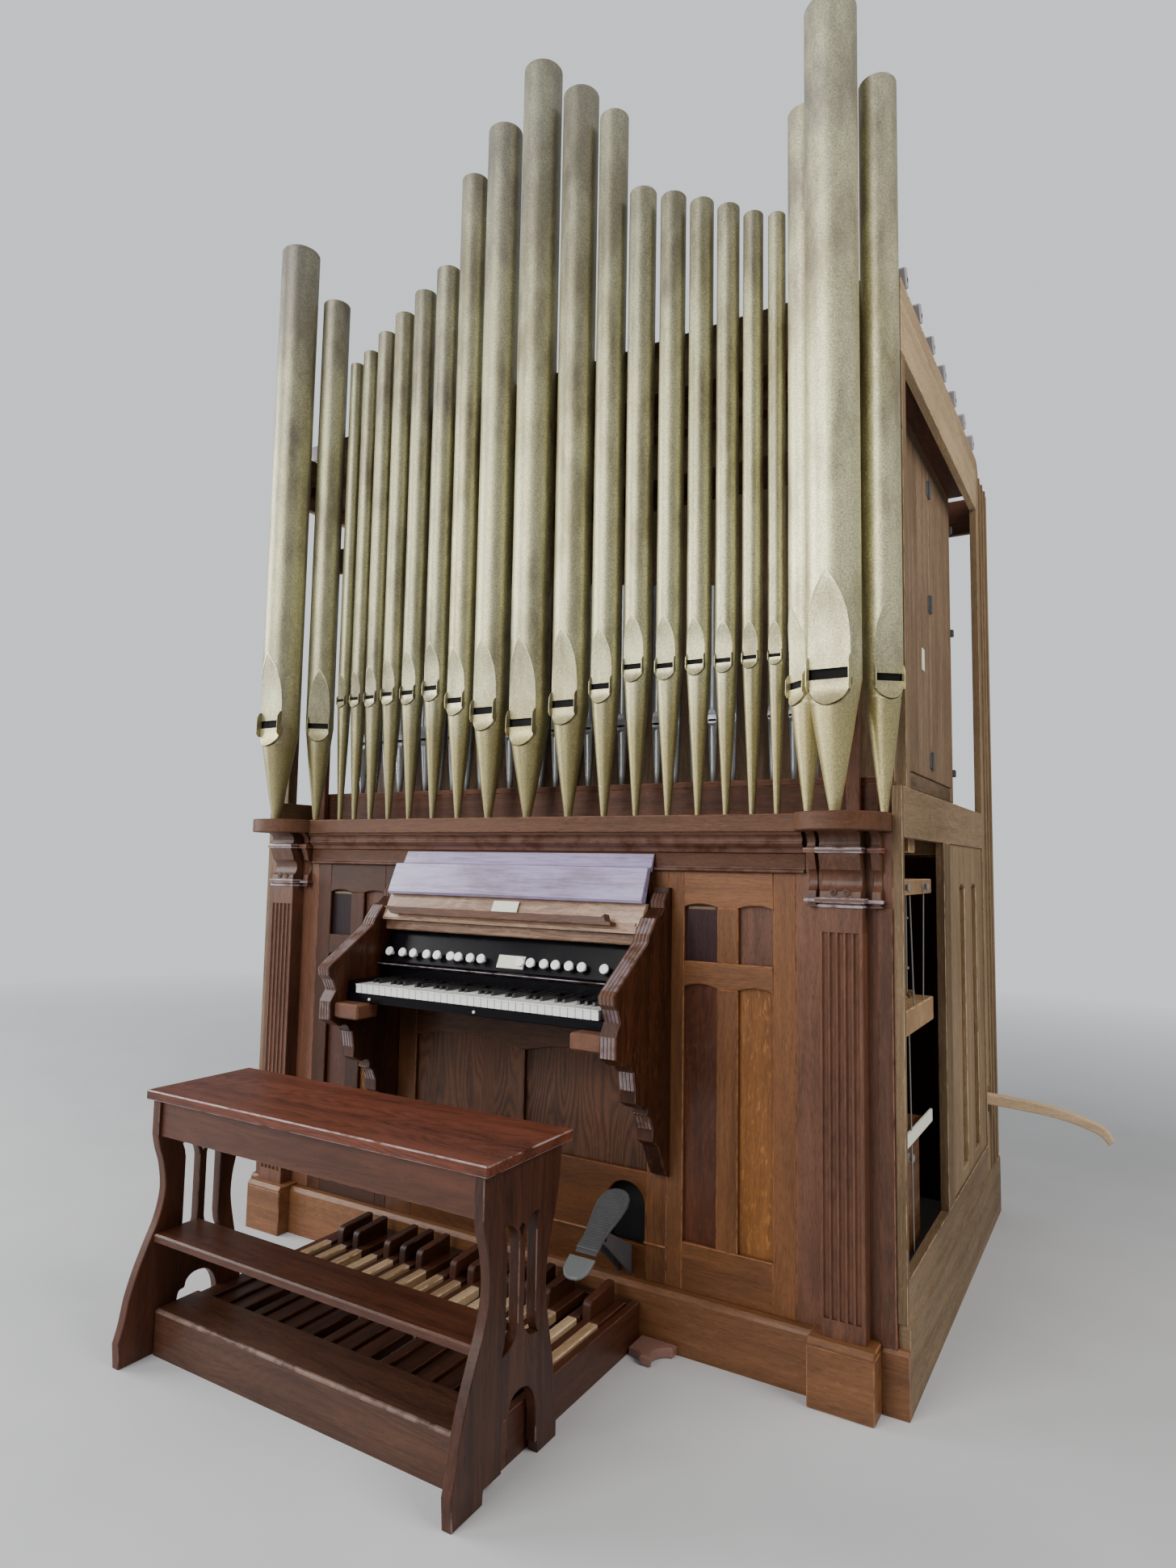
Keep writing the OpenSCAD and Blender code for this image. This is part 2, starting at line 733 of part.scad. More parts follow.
// Music desk above the jamb: a ledge with its lip and a sloping board
module music_desk() {
    color(light_oak) across(-cheek_x0, cheek_x0) translate([0, jamb_z1]) {
        polygon([[0, 0], [-80, 0], [-80, 33], [0, 33]]);
        polygon([[0, 33], [-100, 33], [-100, 39], [-64, 112], [-44, 112], [-70, 53], [0, 53]]);
        polygon([[-94, 51], [-128, 51], [-124, 65], [-86, 68]]);
    }
}

// Folded lid: two hinged boards that lean back over the music desk
module key_lid() {
    z0 = jamb_z1 + 112;
    color([0.38, 0.26, 0.24]) across(-cheek_x0 + 4, cheek_x0 - 4)
        polygon([[-84, z0 + 10], [-47, frieze_z + 7], [-27, frieze_z + 10], [-10, frieze_z + 46],
                 [-4.5, frieze_z + 46], [-15, frieze_z + 12], [-20, frieze_z - 6], [-58, z0], [-80, z0 + 2]]);
}

// Pedalboard
pedal_count = 16;
pedal_mid = -67;
frame_half = (pedal_count - 1) / 2 * pedal_pitch + pedal_side;
rail_t = 22;
pedal_y1 = -plinth_out - 30;
heel_y = -heel_out + heel_d;
pedal_t = 26;

module heel_box() {
    color(oak) translate([pedal_mid, 0, 0]) across(-frame_half, frame_half) difference() {
        polygon([[-heel_out, 0], [-heel_out, pedal_z - 6], [-heel_out + 6, pedal_z + 2], [heel_y, pedal_z + 2], [heel_y, 0]]);
        polygon([[-heel_out + 20, -eps], [-heel_out + 20, pedal_z - 18], [heel_y - 20, pedal_z - 18], [heel_y - 20, -eps]]);
    }
}

module pedal_frame() {
    color(oak) translate([pedal_mid, 0, 0]) {
        for (s = [-1, 1]) translate([s * (frame_half - rail_t / 2), 0, 0])
            board([-rail_t / 2, heel_y, 0], [rail_t / 2, -plinth_out, pedal_z - 4]);
        board([-frame_half + rail_t, heel_y, 0], [frame_half - rail_t, heel_y + 24, pedal_z - pedal_t]);
        board([-frame_half + rail_t, pedal_y1 - 6, 0], [frame_half - rail_t, pedal_y1, pedal_z - pedal_t]);
        board([-frame_half + rail_t, pedal_y1, 0], [frame_half - rail_t, -plinth_out, pedal_z - 4]);
        board([-frame_half + rail_t, -330, 0], [frame_half - rail_t, -300, pedal_z - pedal_t]);
    }
}

function pedal_x(i) = pedal_mid + (i - (pedal_count - 1) / 2) * pedal_pitch;
function pedal_sharp_after(i) = (i % 7 != 2) && (i % 7 != 6) && (i < pedal_count - 1);

module pedal_naturals() {
    color([0.78, 0.62, 0.40]) for (i = [0:pedal_count - 1])
        board([pedal_x(i) - pedal_w / 2, heel_y, pedal_z - pedal_t], [pedal_x(i) + pedal_w / 2, pedal_y1, pedal_z]);
}

module pedal_sharps() {
    color([0.16, 0.09, 0.06]) for (i = [0:pedal_count - 2]) if (pedal_sharp_after(i))
        translate([(pedal_x(i) + pedal_x(i + 1)) / 2, 0, 0]) across(-12, 12)
            polygon([[heel_y, pedal_z - pedal_t], [pedal_y1, pedal_z - pedal_t], [pedal_y1, pedal_z + 48],
                     [pedal_y1 - 130, pedal_z + 44], [pedal_y1 - 150, pedal_z + 28], [pedal_y1 - 156, pedal_z - 8],
                     [heel_y, pedal_z - 8]]);
}

// Low bracket foot on the floor at the right of the pedalboard
module bracket_foot() {
    foot_w = 104;
    foot_d = 96;
    color([0.32, 0.12, 0.09]) translate([pedal_mid + frame_half + 6, -plinth_out - foot_d, 0])
        linear_extrude(26) difference() {
            square([foot_w, foot_d]);
            translate([0, -26]) circle(52);
            translate([foot_w + 8, 26]) circle(44);
        }
}

// Swell shoe: a sole-shaped plate that rocks on a pin near its middle
shoe_y = -145;
shoe_t = 12;
pin_r = 6;
lug_w = 26;

module shoe_outline() {
    toe = shoe_w / 2;
    heel = shoe_w * 0.38;
    waist = shoe_w * 0.33;
    translate([shoe_l / 2 - toe, 0]) circle(toe);
    translate([-shoe_l / 2 + heel, 0]) circle(heel);
    polygon([[shoe_l / 2 - toe, toe], [0, waist], [-shoe_l / 2 + heel, heel],
             [-shoe_l / 2 + heel, -heel], [0, -waist], [shoe_l / 2 - toe, -toe]]);
}

module swell_shoe() {
    color([0.30, 0.31, 0.33]) translate([shoe_x, shoe_y, shoe_z]) rotate([shoe_slope, 0, 0]) {
        translate([0, 0, 14]) linear_extrude(shoe_t) rotate([0, 0, 90]) shoe_outline();
        difference() {
            across(-lug_w / 2, lug_w / 2) hull() {
                circle(pin_r + 8);
                translate([-22, 13]) square([44, 2]);
            }
            rotate([0, 90, 0]) cylinder(r = pin_r + 0.1, h = lug_w + 2, center = true);
        }
    }
}

// Bracket on the case's front that holds the shoe's pin
module shoe_bracket() {
    color([0.22, 0.22, 0.24]) translate([shoe_x, 0, 0]) {
        for (s = [-1, 1]) across(s * (lug_w / 2 + 5) - 4, s * (lug_w / 2 + 5) + 4)
            polygon([[0, plinth_h + 4], [0, shoe_z - 60], [shoe_y, shoe_z + 12], [shoe_y - 12, shoe_z],
                     [shoe_y, shoe_z - 12], [-40, plinth_h + 40]]);
        translate([0, shoe_y, shoe_z]) rotate([0, 90, 0]) cylinder(r = pin_r, h = lug_w + 18, center = true);
    }
}

// Bench. Its ends are boards with an S-shaped front, an arched foot and pierced slots.
seat_y0 = -770;
seat_y1 = -458;
seat_over = 16;
bench_gap = 4;
bench_in = frame_half + bench_gap;
bench_w = 2 * (bench_in + bench_end_t);
shelf_z = 300;
tracery_y = -630;

module bench_end_outline() {
    difference() {
        polygon([[-750, 0], [-845, 0], [-850, 60], [-836, 100], [-832, 160], [-812, 200], [-798, 240],
                 [-780, 280], [-760, 320], [-747, seat_z - 297], [-742, seat_z - 257],
                 [-747, seat_z - 217], [-760, seat_z - 157], [-771, seat_z - 117],
                 [-771, seat_z - seat_t], [-480, seat_z - seat_t], [-485, seat_z - 97],
                 [-500, seat_z - 157], [-520, seat_z - 217], [-533, seat_z - 277], [-532, 320],
                 [-520, 260], [-502, 180], [-490, 100], [-484, 60], [-484, 0], [-556, 0], [-562, 26],
                 [-690, 26], [-748, 26]]);
        arched(-688, -566, 20, 162, 50);
        for (s = [-1, 1]) translate([tracery_y, 0]) polygon([[s * 11.5, 300], [s * 65, 255],
            [s * 53.5, 300], [s * 53.5, seat_z - 187], [s * 64, seat_z - 152], [s * 34, seat_z - 155],
            [s * 11.5, seat_z - 192]]);
        translate([tracery_y, seat_z - 165])
            polygon([[-11, 0], [0, -19], [11, 0], [0, 9]]);
    }
}

module bench_ends() {
    color([0.27, 0.10, 0.07]) for (s = [0, 1])
        translate([pedal_mid - bench_w / 2 + s * (bench_w - bench_end_t), 0, 0])
            across(0, bench_end_t) bench_end_outline();
}

module bench_seat() {
    color([0.36, 0.14, 0.09]) translate([pedal_mid, 0, seat_z - seat_t])
        board([-bench_w / 2 - seat_over, seat_y0 - 12, 0], [bench_w / 2 + seat_over, seat_y1, seat_t]);
}

module bench_apron() {
    color([0.27, 0.10, 0.07]) translate([pedal_mid, 0, 0]) for (y = [seat_y0 + 8, seat_y1 - 52])
        board([-bench_in, y, seat_z - seat_t - apron_h], [bench_in, y + 20, seat_z - seat_t]);
}

module bench_shelf() {
    color([0.27, 0.10, 0.07]) translate([pedal_mid, 0, 0])
        board([-bench_in, -768, shelf_z - 20], [bench_in, -640, shelf_z]);
}

// Pump lever: a bar that leaves the right wall by a slot and ends in a turned-down grip
pivot_in = 70;
pump_x = side_x - wall_t - pivot_in;

module pump_lever() {
    color(light_oak) difference() {
        translate([0, lever_y, 0]) along(-lever_t / 2, lever_t / 2) {
            polygon([[pump_x - 60, pump_z - lever_h / 2], [side_x + 180, pump_z - lever_h / 2 - 18],
                     [side_x + pump_reach - 60, pump_z - 72], [side_x + pump_reach - 14, pump_z - 112],
                     [side_x + pump_reach, pump_z - 92], [side_x + pump_reach - 42, pump_z - 44],
                     [side_x + 180, pump_z + lever_h / 2 - 20], [pump_x - 60, pump_z + lever_h / 2]]);
        }
        translate([pump_x, lever_y, pump_z]) rotate([90, 0, 0]) cylinder(r = pin_r + 0.1, h = lever_t + 2, center = true);
    }
}

// Two cheeks fixed inside the wall that carry the lever's pin
module pump_bracket() {
    color(oak) {
        for (s = [-1, 1]) translate([0, lever_y + s * (lever_t / 2 + 5 + 9), 0])
            board([pump_x - 30, -9, pump_z - 40], [side_x - wall_t, 9, pump_z + 40]);
        translate([pump_x, lever_y, pump_z]) rotate([90, 0, 0]) cylinder(r = pin_r, h = lever_t + 40, center = true);
    }
}

front_plinth();
side_plinths();
back_plinth();
side_frame_left();
side_frame_right();
side_panels();
back_frame();
back_panels();
front_bays();
knee_frame();
front_panels();
pilasters();
capitals();
frieze();
impost_ledge();
wind_chest();
chest_beams();
swell_box_walls();
swell_box_doors();
swell_box_roof();
roof_shades();
rank_pipes();
tower_pipes_left();
tower_pipes_right();
flat_pipes_left();
flat_pipes_right();
centre_pipes();
pipe_rack();
action_rails();
tracker_wires();
key_cheeks();
key_bed();
natural_keys();
sharp_keys();
stop_jamb();
stop_knobs();
music_desk();
key_lid();
heel_box();
pedal_frame();
pedal_naturals();
pedal_sharps();
bracket_foot();
swell_shoe();
shoe_bracket();
bench_seat();
bench_ends();
bench_apron();
bench_shelf();
pump_lever();
pump_bracket();
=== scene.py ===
# %% [markdown]
# # A small church organ, dressed for the camera
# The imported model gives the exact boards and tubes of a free-standing organ. This lesson turns them into
# what the eye expects: oak with its own grain on every board, dull gilded pipes, worn ivory keys. The frame
# comes first, because every later piece takes its place from it.

# %% The frame
import math
import random
import bpy
import bmesh
from mathutils import Matrix, Vector


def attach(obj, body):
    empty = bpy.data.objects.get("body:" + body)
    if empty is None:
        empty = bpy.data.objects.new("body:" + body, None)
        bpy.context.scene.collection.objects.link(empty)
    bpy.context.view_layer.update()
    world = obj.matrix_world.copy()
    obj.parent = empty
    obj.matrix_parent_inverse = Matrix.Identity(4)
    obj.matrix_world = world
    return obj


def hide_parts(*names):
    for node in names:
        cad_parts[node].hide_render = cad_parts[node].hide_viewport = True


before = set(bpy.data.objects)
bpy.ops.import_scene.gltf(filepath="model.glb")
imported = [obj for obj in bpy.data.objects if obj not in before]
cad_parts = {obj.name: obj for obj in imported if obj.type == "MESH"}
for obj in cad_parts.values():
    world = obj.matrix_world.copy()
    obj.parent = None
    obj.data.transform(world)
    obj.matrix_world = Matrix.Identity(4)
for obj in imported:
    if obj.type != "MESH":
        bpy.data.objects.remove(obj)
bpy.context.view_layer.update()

# %% [markdown]
# A case like this is measured in millimetres, so this lesson works in them too. Blender works in metres, and
# the workpiece that makes the meshes does the change. The sizes below are the ones that the pieces share:
# half the case's width, the height of the ledge and so on.

# %% Sizes that many pieces share, in millimetres
MM = 0.001
side_x, wall_t, rear_y, case_h = 1123, 24, 1560, 2740
ledge_z, ledge_t, frieze_z, plinth_h, side_plinth_h = 1397, 45, 1246, 150, 208
inner_x = side_x - wall_t
pilaster_x = inner_x - 241
shaft_mid = side_x - 138
knee_x = 500
print("case is", 2 * side_x, "mm wide and", rear_y, "mm deep")

# %% [markdown]
# The camera stands where the photograph was taken from, well to the right of the middle and 1.26 m above the
# floor, and looks up slightly. Its place and lens were found by matching the straight edges of the case.
# Blender counts the sensor along the picture's long side.

# %% Camera
PHOTO_H = 1941
focal_px = 1148.76
yaw, pitch, roll = math.radians(30.987), math.radians(4.890), math.radians(0.982)
eye = Vector((1.6258, -2.3186, 1.2623))
ahead = Vector((-math.sin(yaw) * math.cos(pitch), math.cos(yaw) * math.cos(pitch), math.sin(pitch)))
flat_right = Vector((math.cos(yaw), math.sin(yaw), 0))
flat_up = flat_right.cross(ahead)
cam_x = math.cos(roll) * flat_right + math.sin(roll) * flat_up
cam_y = -math.sin(roll) * flat_right + math.cos(roll) * flat_up
lens = bpy.data.cameras.new("lens")
lens.sensor_width = 36
lens.lens = lens.sensor_width * focal_px / PHOTO_H
lens.clip_start, lens.clip_end = 0.05, 100
camera = bpy.data.objects.new("camera", lens)
camera.matrix_world = Matrix.Translation(eye) @ Matrix((cam_x, cam_y, -ahead)).transposed().to_4x4()
bpy.context.scene.collection.objects.link(camera)
bpy.context.scene.camera = camera
print("camera lens", round(lens.lens, 2), "mm")

# %% [markdown]
# Shader maths reads best as plain expressions. One small class holds a value on its way through the
# nodes, and its operators add the Math nodes. Whatever is not arithmetic comes from one method of the
# finish, which takes a node's type, its settings and what goes into its sockets.

# %% Values that flow through a material
class Flow:
    """A number, colour or vector on its way through a finish's nodes."""

    def __init__(self, finish, socket):
        self.finish, self.socket = finish, socket

    def maths(self, operation, *others):
        return self.finish.node("ShaderNodeMath", {"operation": operation}, dict(enumerate((self,) + others)))

    def __add__(self, other):
        return self.maths("ADD", other)

    def __mul__(self, other):
        return self.maths("MULTIPLY", other)

    def __sub__(self, other):
        return self.maths("SUBTRACT", other)

    def clear(self):
        return self.finish.node("ShaderNodeClamp", {}, {0: self})


class Finish:
    """One material, with short ways to the nodes that it needs."""

    def __init__(self, name):
        self.material = bpy.data.materials.new(name)
        self.material.use_nodes = True
        self.tree = self.material.node_tree
        self.shader = self.tree.nodes["Principled BSDF"]

    def node(self, kind, settings, sockets, out=0):
        made = self.tree.nodes.new(kind)
        for key, value in settings.items():
            setattr(made, key, value)
        for key, value in sockets.items():
            if isinstance(value, Flow):
                self.tree.links.new(value.socket, made.inputs[key])
            else:
                made.inputs[key].default_value = value
        return Flow(self, made.outputs[out])

    def place(self):
        return self.node("ShaderNodeTexCoord", {}, {}, "Object")

    def attribute(self, name, out="Vector"):
        return self.node("ShaderNodeAttribute", {"attribute_name": name}, {}, out)

    def stretch(self, vector, scale):
        return self.node("ShaderNodeVectorMath", {"operation": "MULTIPLY"}, {0: vector, 1: scale})

    def shift(self, vector, other):
        return self.node("ShaderNodeVectorMath", {"operation": "ADD"}, {0: vector, 1: other})

    def noise(self, vector, scale=1.0, detail=3.0, rough=0.55):
        return self.node("ShaderNodeTexNoise", {}, {"Vector": vector, "Scale": scale, "Detail": detail,
                                                    "Roughness": rough})

    def streaks(self, grain, along, across, detail=3.0, rough=0.55):
        """Noise drawn out along the grain."""
        return self.noise(self.stretch(grain, (along, across, across)), 1.0, detail, rough)

    def ramp(self, value, low, high):
        return self.node("ShaderNodeMapRange", {}, {"Value": value, "From Min": low, "From Max": high})

    def mix(self, factor, a, b):
        a, b = [(*c, 1) if isinstance(c, tuple) else c for c in (a, b)]
        return self.node("ShaderNodeMix", {"data_type": "RGBA"}, {0: factor, 6: a, 7: b}, 2)

    def bump(self, height, strength, distance):
        return self.node("ShaderNodeBump", {}, {"Height": height, "Strength": strength, "Distance": distance})

    def surface(self, **sockets):
        for key, value in sockets.items():
            key = key.replace("_", " ")
            if isinstance(value, Flow):
                self.tree.links.new(value.socket, self.shader.inputs[key])
            else:
                self.shader.inputs[key].default_value = (*value, 1) if isinstance(value, tuple) else value
        return self.material


print("shader maths ready")

# %% [markdown]
# Wood is the main finish here, and no two boards share a pattern. Every board's mesh carries its own grain
# coordinates: the first runs along the fibres, the others across. The finish stretches its noise along the
# first one. Oak sawn toward the heart also shows ray flecks, short pale patches that lie across the grain.

# %% Wood
VARNISH = (1.14, 0.97, 0.68)


# worn is the colour of narrow edges: partly wear, partly painted highlight.
def wood(name, dark, light, fleck=0.0, streak=30.0, rough=0.42, coat=0.0, figure=0.08, tint=VARNISH,
         worn=None, shine=0.32):
    """Oak and other woods between two colours, with flecks, stripes and pale edges of wear and painted glint.
    """
    f = Finish(name)
    dark, light = [tuple(c * v for c, v in zip(shade, tint)) for shade in (dark, light)]
    grain = f.attribute("grain")
    tone = f.attribute("tone", "Fac")
    wander = f.streaks(grain, 1.6, 7.0, 2.0)
    stripes = f.noise(f.shift(f.stretch(grain, (1.1, streak, streak)), wander * 1.6), 1.0, 4.0, 0.6)
    fibre = f.streaks(grain, 14.0, 420.0, 2.0, 0.6)
    pores = f.ramp(f.streaks(grain, 55.0, 900.0, 1.0, 0.5), 0.56, 0.72)
    cloud = f.streaks(grain, 2.2, 5.0, 1.5)
    rings = (f.streaks(grain, 1.4, 8.0, 1.6, 0.4) * 24.0).maths("PINGPONG", 0.5) * 2.0
    depth = f.ramp(stripes * 0.62 + fibre * 0.38 + tone * 0.14 + (rings - 0.5) * figure, 0.30, 0.70)
    colour = f.mix(depth, dark, light)
    height = stripes * 0.35 + fibre * 0.4 - pores * 0.5
    if fleck:
        bent = f.shift(f.stretch(grain, (34.0, 95.0, 95.0)), wander * 9.0)
        flecks = f.ramp(f.noise(bent, 1.0, 2.0, 0.5), 0.57, 0.70)
        pale = tuple(min(1.0, c * 1.75 + 0.012) for c in light)
        colour = f.mix((flecks * fleck).clear(), colour, pale)
        height = height + flecks * 0.25
    colour = f.mix(pores * 0.55, colour, tuple(c * 0.32 for c in dark))
    colour = f.mix(f.ramp(cloud, 0.38, 0.72) * 0.32, colour, tuple(c * 0.50 for c in dark))
    # Narrow edge faces turn pale: partly wear, partly painted highlight.
    edge_wear_and_glint = f.attribute("edge", "Fac") * f.ramp(f.noise(f.place(), 22.0, 4.0, 0.6), 0.36, 0.56)
    colour = f.mix((edge_wear_and_glint * 0.6).clear(), colour, worn or tuple(min(1.0, c * 1.8 + 0.03) for c in light))
    gloss = f.ramp(cloud + fibre * 0.4, 0.2, 1.0) * 0.22 + (rough - 0.1)
    return f.surface(Base_Color=colour, Roughness=(gloss - edge_wear_and_glint * 0.08).clear(), Specular_IOR_Level=shine,
                     Normal=f.bump(height, 0.35, 0.0012), Coat_Weight=coat, Coat_Roughness=0.16)


def painted_sheen(name, brown, sheen_colour, rough):
    """Dark wood under old varnish, with broad patches of a pale sheen colour: painted reflection."""
    f = Finish(name)
    grain = f.attribute("grain")
    patch = f.streaks(grain, 2.6, 5.0, 6.0, 0.7)
    fine = f.streaks(grain, 20.0, 300.0, 2.0, 0.5)
    amount = f.ramp(patch + fine * 0.16 + f.attribute("tone", "Fac") * 0.10, 0.34, 0.64)
    colour = f.mix((amount + f.attribute("edge", "Fac") * 0.6).clear(), brown, sheen_colour)
    streaks = f.streaks(grain, 7.0, 110.0, 4.0, 0.65)
    colour = f.mix(f.ramp(streaks, 0.44, 0.66) * 0.50, colour, brown)
    return f.surface(Base_Color=colour, Roughness=f.ramp(patch, 0.2, 0.8) * 0.12 + rough, Coat_Weight=0.4,
                     Normal=f.bump(fine, 0.2, 0.0006), Coat_Roughness=0.15)


BARE = (1.0, 1.0, 1.0)
# The worn colours below are pale edge colours: partly wear, partly painted highlight.
finishes = {
    "oak": wood("dark oak", (0.052, 0.025, 0.019), (0.168, 0.082, 0.064), 0.1, 24.0, 0.42, 0.12),
    "warm_oak": wood("warm oak", (0.084, 0.038, 0.020), (0.215, 0.108, 0.060), 0.12, 24.0, 0.42, 0.12),
    "amber_oak": wood("amber oak", (0.036, 0.013, 0.003), (0.146, 0.056, 0.014), 0.15, 24.0, 0.42, 0.12),
    "shaded_oak": wood("shaded oak", (0.018, 0.006, 0.003), (0.066, 0.024, 0.010), 0.1, 24.0, 0.44, 0.05),
    "sunlit_oak": wood("sunlit oak", (0.240, 0.160, 0.088), (0.560, 0.405, 0.235), 0.12, 30.0, 0.62, 0.0,
                       0.08, BARE),
    "frieze_oak": wood("frieze oak", (0.032, 0.013, 0.008), (0.092, 0.041, 0.026), 0.1, 26.0, 0.42, 0.0,
                       worn=(0.16, 0.085, 0.066), shine=0.16),
    "ledge_oak": wood("ledge oak", (0.048, 0.024, 0.018), (0.125, 0.067, 0.053), 0.12, 22.0, 0.42, 0.0,
                      shine=0.18),
    "glinting_oak": wood("rubbed oak", (0.036, 0.016, 0.012), (0.135, 0.078, 0.078), 0.1, 30.0, 0.24, 0.5,
                       worn=(0.56, 0.49, 0.55)),
    "cheek_oak": wood("cheek oak", (0.024, 0.008, 0.004), (0.106, 0.039, 0.020), 0.2, 26.0, 0.38, 0.15),
    "inner_oak": wood("inner oak", (0.045, 0.018, 0.012), (0.150, 0.068, 0.050), 0.15, 26.0, 0.55),
    "inner_faded": wood("swell box wood", (0.110, 0.068, 0.038), (0.300, 0.198, 0.118), 0.1, 30.0, 0.62, 0.0,
                        0.08, BARE),
    "light_oak": wood("orange oak", (0.074, 0.031, 0.013), (0.218, 0.102, 0.049), 0.08, 22.0, 0.42, 0.12),
    "figured_oak": wood("figured oak", (0.026, 0.011, 0.006), (0.092, 0.038, 0.020), 0.2, 12.0, 0.42, 0.1,
                        0.38),
    "faded_oak": wood("faded oak", (0.134, 0.083, 0.041), (0.310, 0.210, 0.118), 0.12, 30.0, 0.62, 0.0, 0.08,
                      BARE),
    "faded_panel": wood("faded panel oak", (0.190, 0.122, 0.062), (0.410, 0.292, 0.165), 0.12, 30.0, 0.62,
                        0.0, 0.08, BARE),
    "pine": wood("bare pine", (0.240, 0.135, 0.062), (0.430, 0.270, 0.140), 0.0, 34.0, 0.60, 0.0, 0.1, BARE),
    "maple": wood("worn maple", (0.280, 0.170, 0.090), (0.560, 0.400, 0.240), 0.0, 40.0, 0.48, 0.0, 0.05,
                  BARE),
    "dark_wood": wood("dark pedal wood", (0.020, 0.008, 0.006), (0.074, 0.029, 0.020), 0.0, 40.0, 0.40, 0.1),
    "heel_oak": wood("heel box oak", (0.026, 0.011, 0.008), (0.100, 0.048, 0.036), 0.1, 24.0, 0.40, 0.08,
                     worn=(0.26, 0.17, 0.14)),
    "mahogany": wood("mahogany", (0.090, 0.048, 0.052), (0.240, 0.150, 0.170), 0.0, 36.0, 0.36, 0.2),
    "seat_wood": wood("bench seat wood", (0.009, 0.003, 0.002), (0.150, 0.050, 0.038), 0.0, 26.0, 0.36, 0.06,
                      0.14, worn=(0.50, 0.40, 0.39), shine=0.22),
    "bench_wood": wood("bench wood", (0.024, 0.009, 0.006), (0.098, 0.038, 0.026), 0.0, 30.0, 0.38, 0.05,
                       worn=(0.30, 0.20, 0.18)),
    "lever_wood": wood("lever wood", (0.500, 0.340, 0.200), (0.880, 0.660, 0.430), 0.0, 34.0, 0.50, 0.0, 0.05,
                       BARE),
    # The lid's lavender colour is painted reflection.
    "lid_wood": painted_sheen("hazed lid", (0.130, 0.070, 0.085), (0.360, 0.305, 0.500), 0.24),
    "figured_trunk": wood("old action wood", (0.075, 0.036, 0.020), (0.220, 0.115, 0.062), 0.0, 26.0, 0.5),
    # knee_oak is darker than light_oak: painted shade under the key bed.
    "knee_oak": wood("knee oak", (0.034, 0.014, 0.007), (0.120, 0.052, 0.024), 0.1, 24.0, 0.42, 0.12),
    "music_wood": wood("music desk wood", (0.160, 0.080, 0.045), (0.540, 0.355, 0.240), 0.2, 26.0, 0.32, 0.35,
                       0.12, BARE),
}
print(len(finishes), "woods")

# %% [markdown]
# The pipes are zinc under a coat of bronze powder. The coat has gone dull, with taupe and olive clouds that
# run down the tube, a fine grit, and small spots where it has worn to grey metal. It is part metal, part
# paint, so it keeps a broad soft glow down the side that faces the light. The photograph shows the left
# pipes darker and the right tower brighter than the middle, so the colour comes in three strengths: the
# darker one is painted shade, the brighter one painted light.

# %% Bronze-painted metal
def bronze(name, light_lift=1.0):
    """Bronze paint on zinc, made brighter as painted light or darker as painted shade by lift."""
    f = Finish(name)
    grain = f.attribute("grain")
    tone = f.attribute("tone", "Fac")
    height = f.node("ShaderNodeSeparateXYZ", {}, {0: f.place()}, 2)
    long_cloud = f.streaks(grain, 1.6, 4.5, 4.0, 0.6)
    patch = f.streaks(grain, 3.2, 8.0, 5.0, 0.65)
    grit = f.noise(grain, 210.0, 3.0, 0.75)
    taupe, olive, gold = [tuple(c * light_lift for c in p) for p in (
        (0.310, 0.268, 0.195), (0.330, 0.290, 0.150), (0.720, 0.695, 0.420))]
    foot_gold = tuple(c * v for c, v in zip(olive, (1.30, 1.25, 1.00)))
    pale_grey_top, bare_metal = (0.58, 0.57, 0.55), (0.42, 0.46, 0.52)
    middle = f.ramp(height, 1.5, 2.1) * f.ramp(height, 3.3, 2.4)
    colour = f.mix(f.ramp(long_cloud + tone * 0.14, 0.36, 0.64), taupe, olive)
    colour = f.mix((f.ramp(patch + middle * 0.13, 0.42, 0.66) * 0.9).clear(), colour, gold)
    colour = f.mix(f.ramp(height, 1.80, 1.62) * 0.85, colour, foot_gold)
    # Towards the top the colour turns paler grey.
    colour = f.mix(f.ramp(height, 2.7, 3.7) * 0.40, colour, pale_grey_top)
    bruise = f.ramp(f.streaks(grain, 2.6, 6.0, 3.0, 0.6), 0.60, 0.74)
    colour = f.mix(bruise * 0.55, colour, tuple(c * 0.5 for c in taupe))
    colour = f.mix(f.ramp(grit, 0.36, 0.64) * 0.58, colour, tuple(c * 0.42 for c in taupe))
    chips = f.ramp(f.noise(grain, 26.0, 4.0, 0.6), 0.735, 0.75)
    colour = f.mix(chips, colour, bare_metal)
    gloss = f.ramp(patch + grit * 0.3, 0.3, 1.1) * 0.22 + 0.30
    return f.surface(Base_Color=colour, Metallic=0.72, Roughness=gloss, Normal=f.bump(grit, 0.5, 0.0012))


def plain(name, colour, rough, metallic=0.0, scale=60.0, spread=0.25, depth=0.0005, coat=0.0, shine=0.5):
    """A finish of one main colour with fine mottling."""
    f = Finish(name)
    fine = f.noise(f.place(), scale, 4.0, 0.6)
    broad = f.noise(f.place(), scale * 0.08, 3.0, 0.6)
    shade = f.mix((f.ramp(fine, 0.3, 0.7) * 0.5 + f.ramp(broad, 0.3, 0.7) * 0.5) * spread * 2.0, colour,
                  tuple(c * (1 - 2 * spread) for c in colour))
    return f.surface(Base_Color=shade, Roughness=f.ramp(broad, 0.2, 0.8) * 0.15 + (rough - 0.07),
                     Metallic=metallic, Normal=f.bump(fine, 0.3, depth), Coat_Weight=coat, Coat_Roughness=0.1,
                     Specular_IOR_Level=shine)


